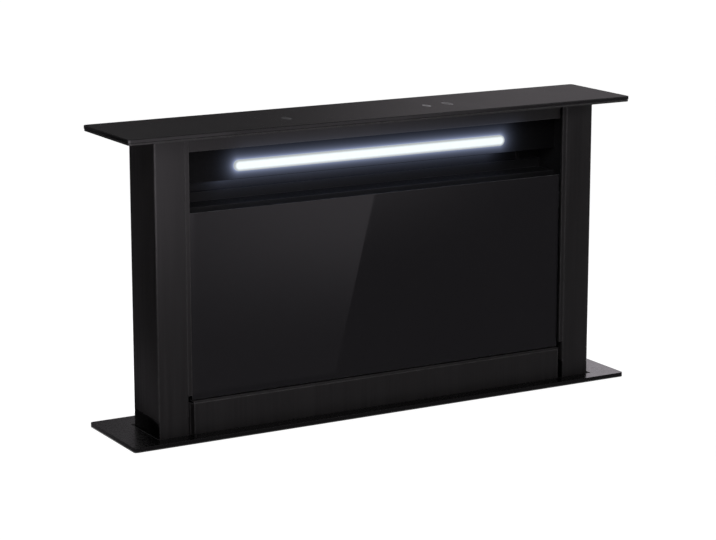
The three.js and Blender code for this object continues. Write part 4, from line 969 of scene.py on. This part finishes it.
FLOOR_R = 7.0
FLOOR_SIDES = 96
BACKDROP_H = 1.8
FLOOR_WHITE = (0.97, 1.0, 0.63)  # glow, share that keeps shadows, and glow near the object
NEAR_R, FAR_R = 1.1, 2.1  # between these the floor's glow rises from the one to the other
WORKTOP_WHITE = (0.95, 0.25)
SLAB_T = 0.040
SLAB_X = (-0.60, 0.34)
SLAB_Y = (-0.52, 0.16)
SLAB_BELOW = 0.0001  # the trim's rim
CUTOUT_GAP = 0.003  # worktop's cut-out round the casing
CAMERA_AT = (-1.245, -2.0674, 1.340)
CAMERA_YAW = 29.89  # degrees from +Y towards +X
CAMERA_PITCH = -12.40
CAMERA_LENS, CAMERA_SENSOR = 119.7, 36  # millimetres
CAMERA_CLIP = 50
CARD_Y = -0.10  # reflection cards before the column
CARD_FAR, CARD_END = -0.45, 1.0  # their ends in X
CARD_REAR = 0.40
CARD_TOP = 1.45
CARD_ABOVE = 0.001  # the trim's underside
FIELD_EDGE_BOTTOM = 0.0257  # right edge of the light field, at the worktop
FIELD_EDGE_TOP = 0.1064  # and at the lid
SIDE_FIELD_X = -0.148  # left of this, the field is brighter
GLINT_X = -0.300  # left of this, only the column's folded edge sees it, and it is brightest
FIELD_COLOUR = (0.98, 0.915, 0.99)
FIELDS = {  # glow low and high, heights and places in X between which it rises, colour
    "side": (0.20, 0.74, (0.66, 0.98), (-0.50, -0.30)),
    "glint": (0.15, 2.2, (0.70, 0.93), (-0.60, -0.50)),
    "light": (0.18, 0.65, (0.64, 0.90), (-0.46, 0.12)),
    "dark": (0.13, 0.60, (0.72, 1.0), (0.38, 0.05)),
    "black": (0.010, 0.016, (0.60, 1.0), (-0.45, 0.45)),
    "low_rear": (0.04, 1.05, (0.40, 0.45), (-0.40, 0.60)),
    "high_rear": (0.03, 0.17, (0.40, 0.45), (-0.12, 0.55), (1.0, 0.93, 0.98)),
    "table": (0.12, 0.12, (0.40, 0.45), (-0.45, 0.45)),
}
STRIP_WATTS = 0.02
STRIP_LAMP_H = 0.004
STRIP_FACING = (0, 0.35, -1)
WORLD_RISE = (0.1, 0.9, 0.06, 0.9)  # directions between which the light rises, and its strengths there
SOFTBOXES = (  # name, place, aim, size, watts
    ("key", (-1.2, -2.2, 2.5), (0, 0.05, 0.7), (1.6, 1.6), 34),
    ("fill", (2.2, -1.4, 1.7), (0, 0.05, 0.6), (1.5, 1.5), 7),
    ("back", (0.5, 2.2, 2.4), (0, 0.05, 0.6), (1.6, 1.2), 22),
    ("rim", (2.51, 1.93, 1.78), (0.3, 0.08, 0.9), (1.4, 0.9), 3.5),
)


def white_stage(name, glow, shaded, near_glow=None):
    """Plain pale surface: white to the camera and in gloss, with the shaded share keeping shadows.

    With near_glow it glows less close to the object, so that more of the object's shadow is kept there."""
    material = bpy.data.materials.new(name)
    material.use_nodes = True
    made = Nodes(material.node_tree)
    made.tree.nodes.clear()
    strength = 1.0
    if near_glow:
        away = made.vector("LENGTH", made.where(), output="Value")
        strength = made.span(away, NEAR_R, FAR_R, near_glow / glow)
    seen = made.node("ShaderNodeEmission", {"Color": (glow, glow, glow, 1), "Strength": strength})
    shade = made.node("ShaderNodeBsdfDiffuse", {"Color": (shaded, shaded, shaded, 1)})
    plain = made.node("ShaderNodeBsdfDiffuse", {"Color": (0.8, 0.8, 0.8, 1)})
    path = made.node("ShaderNodeLightPath").outputs
    looked_at = made.math("MAXIMUM", path["Is Camera Ray"], path["Is Glossy Ray"])
    looked_at = made.math("MAXIMUM", looked_at, path["Is Transmission Ray"])
    both = made.node("ShaderNodeAddShader", {0: seen.outputs[0], 1: shade.outputs[0]})
    chosen = made.node("ShaderNodeMixShader", {0: looked_at, 1: plain.outputs[0], 2: both.outputs[0]})
    made.node("ShaderNodeOutputMaterial", {"Surface": chosen.outputs[0]})
    return material


def worktop_edge():
    """Pale laminate for the cut faces and underside of the worktop."""
    laminate = Finish("worktop_edge", (0.5, 0.5, 0.49))
    grain = laminate.noise(0.003, 4)
    laminate.drive("Base Color", laminate.mix(grain, (0.46, 0.46, 0.45), (0.55, 0.55, 0.54)))
    return laminate.material


def worktop(bm):
    """Slab with a cut-out for the casing: the ring of cells of a 3 by 3 grid, top, bottom and walls."""
    low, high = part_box("top_frame")
    xs = (SLAB_X[0], low.x - CUTOUT_GAP, high.x + CUTOUT_GAP, SLAB_X[1])
    ys = (SLAB_Y[0], low.y - CUTOUT_GAP / 2, high.y + CUTOUT_GAP / 2, SLAB_Y[1])
    top = WORKTOP_Z - SLAB_BELOW
    foot = top - SLAB_T
    cells = [(i, j) for i in range(3) for j in range(3) if (i, j) != (1, 1)]

    def quad(points, slot):
        bm.faces.new([bm.verts.new(p) for p in points]).material_index = slot

    for i, j in cells:
        corners = [(xs[i], ys[j]), (xs[i + 1], ys[j]), (xs[i + 1], ys[j + 1]), (xs[i], ys[j + 1])]
        quad([(*corner, top) for corner in corners], 0)
        quad([(*corner, foot) for corner in corners], 1)
        for k, (di, dj) in enumerate(((0, -1), (1, 0), (0, 1), (-1, 0))):
            if (i + di, j + dj) not in cells:
                a, b = corners[k], corners[(k + 1) % 4]
                quad([(*a, top), (*b, top), (*b, foot), (*a, foot)], 1)
    bmesh.ops.remove_doubles(bm, verts=bm.verts, dist=WELD)


def floor(bm):
    bmesh.ops.create_circle(bm, cap_ends=True, segments=FLOOR_SIDES, radius=FLOOR_R)


def backdrop(bm):
    """Low round wall that closes the view behind the floor."""
    bmesh.ops.create_circle(bm, segments=FLOOR_SIDES, radius=FLOOR_R)
    raised = bmesh.ops.extrude_edge_only(bm, edges=bm.edges[:])["geom"]
    for v in raised:
        if isinstance(v, bmesh.types.BMVert):
            v.co.z += BACKDROP_H


def field(name, dark, bright, rise_z, rise_x, colour=FIELD_COLOUR):
    """Glow of a reflection card: dark, rising to bright with height over rise_z and sideways over rise_x."""
    made = Finish(name, (0, 0, 0), roughness=1.0, specular=0.0)
    where = made.where()
    up = made.span(made.axis("Z", where), *rise_z)
    across = made.span(made.axis("X", where), *rise_x)
    made.set("Emission Color", (*colour, 1))
    made.drive("Emission Strength", made.span(made.math("MULTIPLY", up, across), 0, 1, dark, bright))
    return made.material


def card(name, corners, material):
    """A card that only gloss sees: it shapes reflections and neither lights nor hides anything."""
    obj = new_mesh(name, lambda bm: bm.faces.new([bm.verts.new(c) for c in corners]), material)
    obj.visible_camera = False
    obj.visible_diffuse = False
    obj.visible_shadow = False


def cards():
    """The dark corner that the unit was photographed in, with one slanting light field before the glass."""
    (left, front, foot), (right, back, _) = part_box("trim_flange")
    foot += CARD_ABOVE
    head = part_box("lid_glass")[1].z
    fields = {name: field(f"{name}_field", *glow) for name, glow in FIELDS.items()}

    def standing(a, b, low=foot, high=head):
        """Corners of an upright card over the line from a to b."""
        return [(*a, low), (*b, low), (*b, high), (*a, high)]

    def lying(x0, x1, y0, y1):
        """Corners of a card that lies just over the worktop."""
        return [(x0, y0, foot), (x1, y0, foot), (x1, y1, foot), (x0, y1, foot)]

    bottom, top = (FIELD_EDGE_BOTTOM, CARD_Y, foot), (FIELD_EDGE_TOP, CARD_Y, head)
    side, end = ([(x, CARD_Y, z) for z in (foot, head)] for x in (SIDE_FIELD_X, CARD_END))
    for name, look, corners in (
        ("side", "side", standing((GLINT_X, CARD_Y), (SIDE_FIELD_X, CARD_Y))),
        ("glint", "glint", standing((CARD_FAR, CARD_Y), (GLINT_X, CARD_Y))),
        ("light", "light", [side[0], bottom, top, side[1]]),
        ("dark", "dark", [bottom, *end, top]),
        ("before", "dark", lying(CARD_FAR, CARD_END, CARD_Y, front)),
        ("beside", "table", lying(CARD_FAR, left, front, CARD_REAR)),
        ("corner", "glint", standing((CARD_FAR, CARD_Y), (CARD_FAR, front))),
        ("left", "black", standing((CARD_FAR, front), (CARD_FAR, CARD_REAR))),
        ("behind", "black", lying(left, right, back, CARD_REAR)),
        ("rear", "low_rear", standing((CARD_FAR, CARD_REAR), (CARD_END, CARD_REAR))),
        ("above", "high_rear", standing((CARD_FAR, CARD_REAR), (CARD_END, CARD_REAR), head, CARD_TOP)),
    ):
        card(f"card_{name}", corners, fields[look])


def placed(name, data, at, facing):
    """A lamp or camera that looks in the direction facing."""
    obj = bpy.data.objects.new(name, data)
    obj.location = at
    obj.rotation_mode = "QUATERNION"
    obj.rotation_quaternion = Vector(facing).to_track_quat("-Z", "Y")
    bpy.context.scene.collection.objects.link(obj)
    return obj


def area_lamp(name, at, facing, size, watts):
    lamp = bpy.data.lights.new(name, "AREA")
    lamp.shape = "RECTANGLE"
    lamp.size, lamp.size_y = size
    lamp.energy = watts
    return placed(name, lamp, at, facing)


def strip_light():
    """The light strip's light on the ledge and on the glass's top edge."""
    low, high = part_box("led_lens")
    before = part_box("light_housing")[0].y - STRIP_LAMP_H
    at = ((low.x + high.x) / 2, before, (low.z + high.z) / 2)
    obj = area_lamp("strip_light", at, STRIP_FACING, (high.x - low.x, STRIP_LAMP_H), STRIP_WATTS)
    obj.data.color = SPILL_COLOUR
    obj.visible_camera = False
    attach(obj, "column")


def world():
    """Soft overhead light that falls off to dark studio walls."""
    made = bpy.data.worlds.new("studio")
    bpy.context.scene.world = made
    made.use_nodes = True
    sky = Nodes(made.node_tree)
    up = sky.axis("Z", sky.node("ShaderNodeTexCoord").outputs["Generated"])
    sky.tree.links.new(sky.span(up, *WORLD_RISE), sky.tree.nodes["Background"].inputs["Strength"])


def studio():
    sweep = white_stage("floor_white", *FLOOR_WHITE)
    new_mesh("floor", floor, sweep)
    new_mesh("backdrop", backdrop, sweep)
    slab = new_mesh("worktop", worktop, white_stage("worktop_white", *WORKTOP_WHITE))
    slab.data.materials.append(worktop_edge())
    cards()
    strip_light()
    world()
    for name, at, aim, size, watts in SOFTBOXES:
        area_lamp(name, at, Vector(aim) - Vector(at), size, watts)


def camera():
    lens = bpy.data.cameras.new("camera")
    lens.lens = CAMERA_LENS
    lens.sensor_width = CAMERA_SENSOR
    lens.clip_end = CAMERA_CLIP
    yaw, pitch = math.radians(CAMERA_YAW), math.radians(CAMERA_PITCH)
    ahead = (math.sin(yaw) * math.cos(pitch), math.cos(yaw) * math.cos(pitch), math.sin(pitch))
    bpy.context.scene.camera = placed("camera", lens, CAMERA_AT, ahead)


# ---------- everything together

dress_nodes()
blower_pieces()
duct_pieces()
casing_pieces()
control_pieces()
column_pieces()
studio()
camera()
bpy.context.scene.view_settings.view_transform = "Standard"
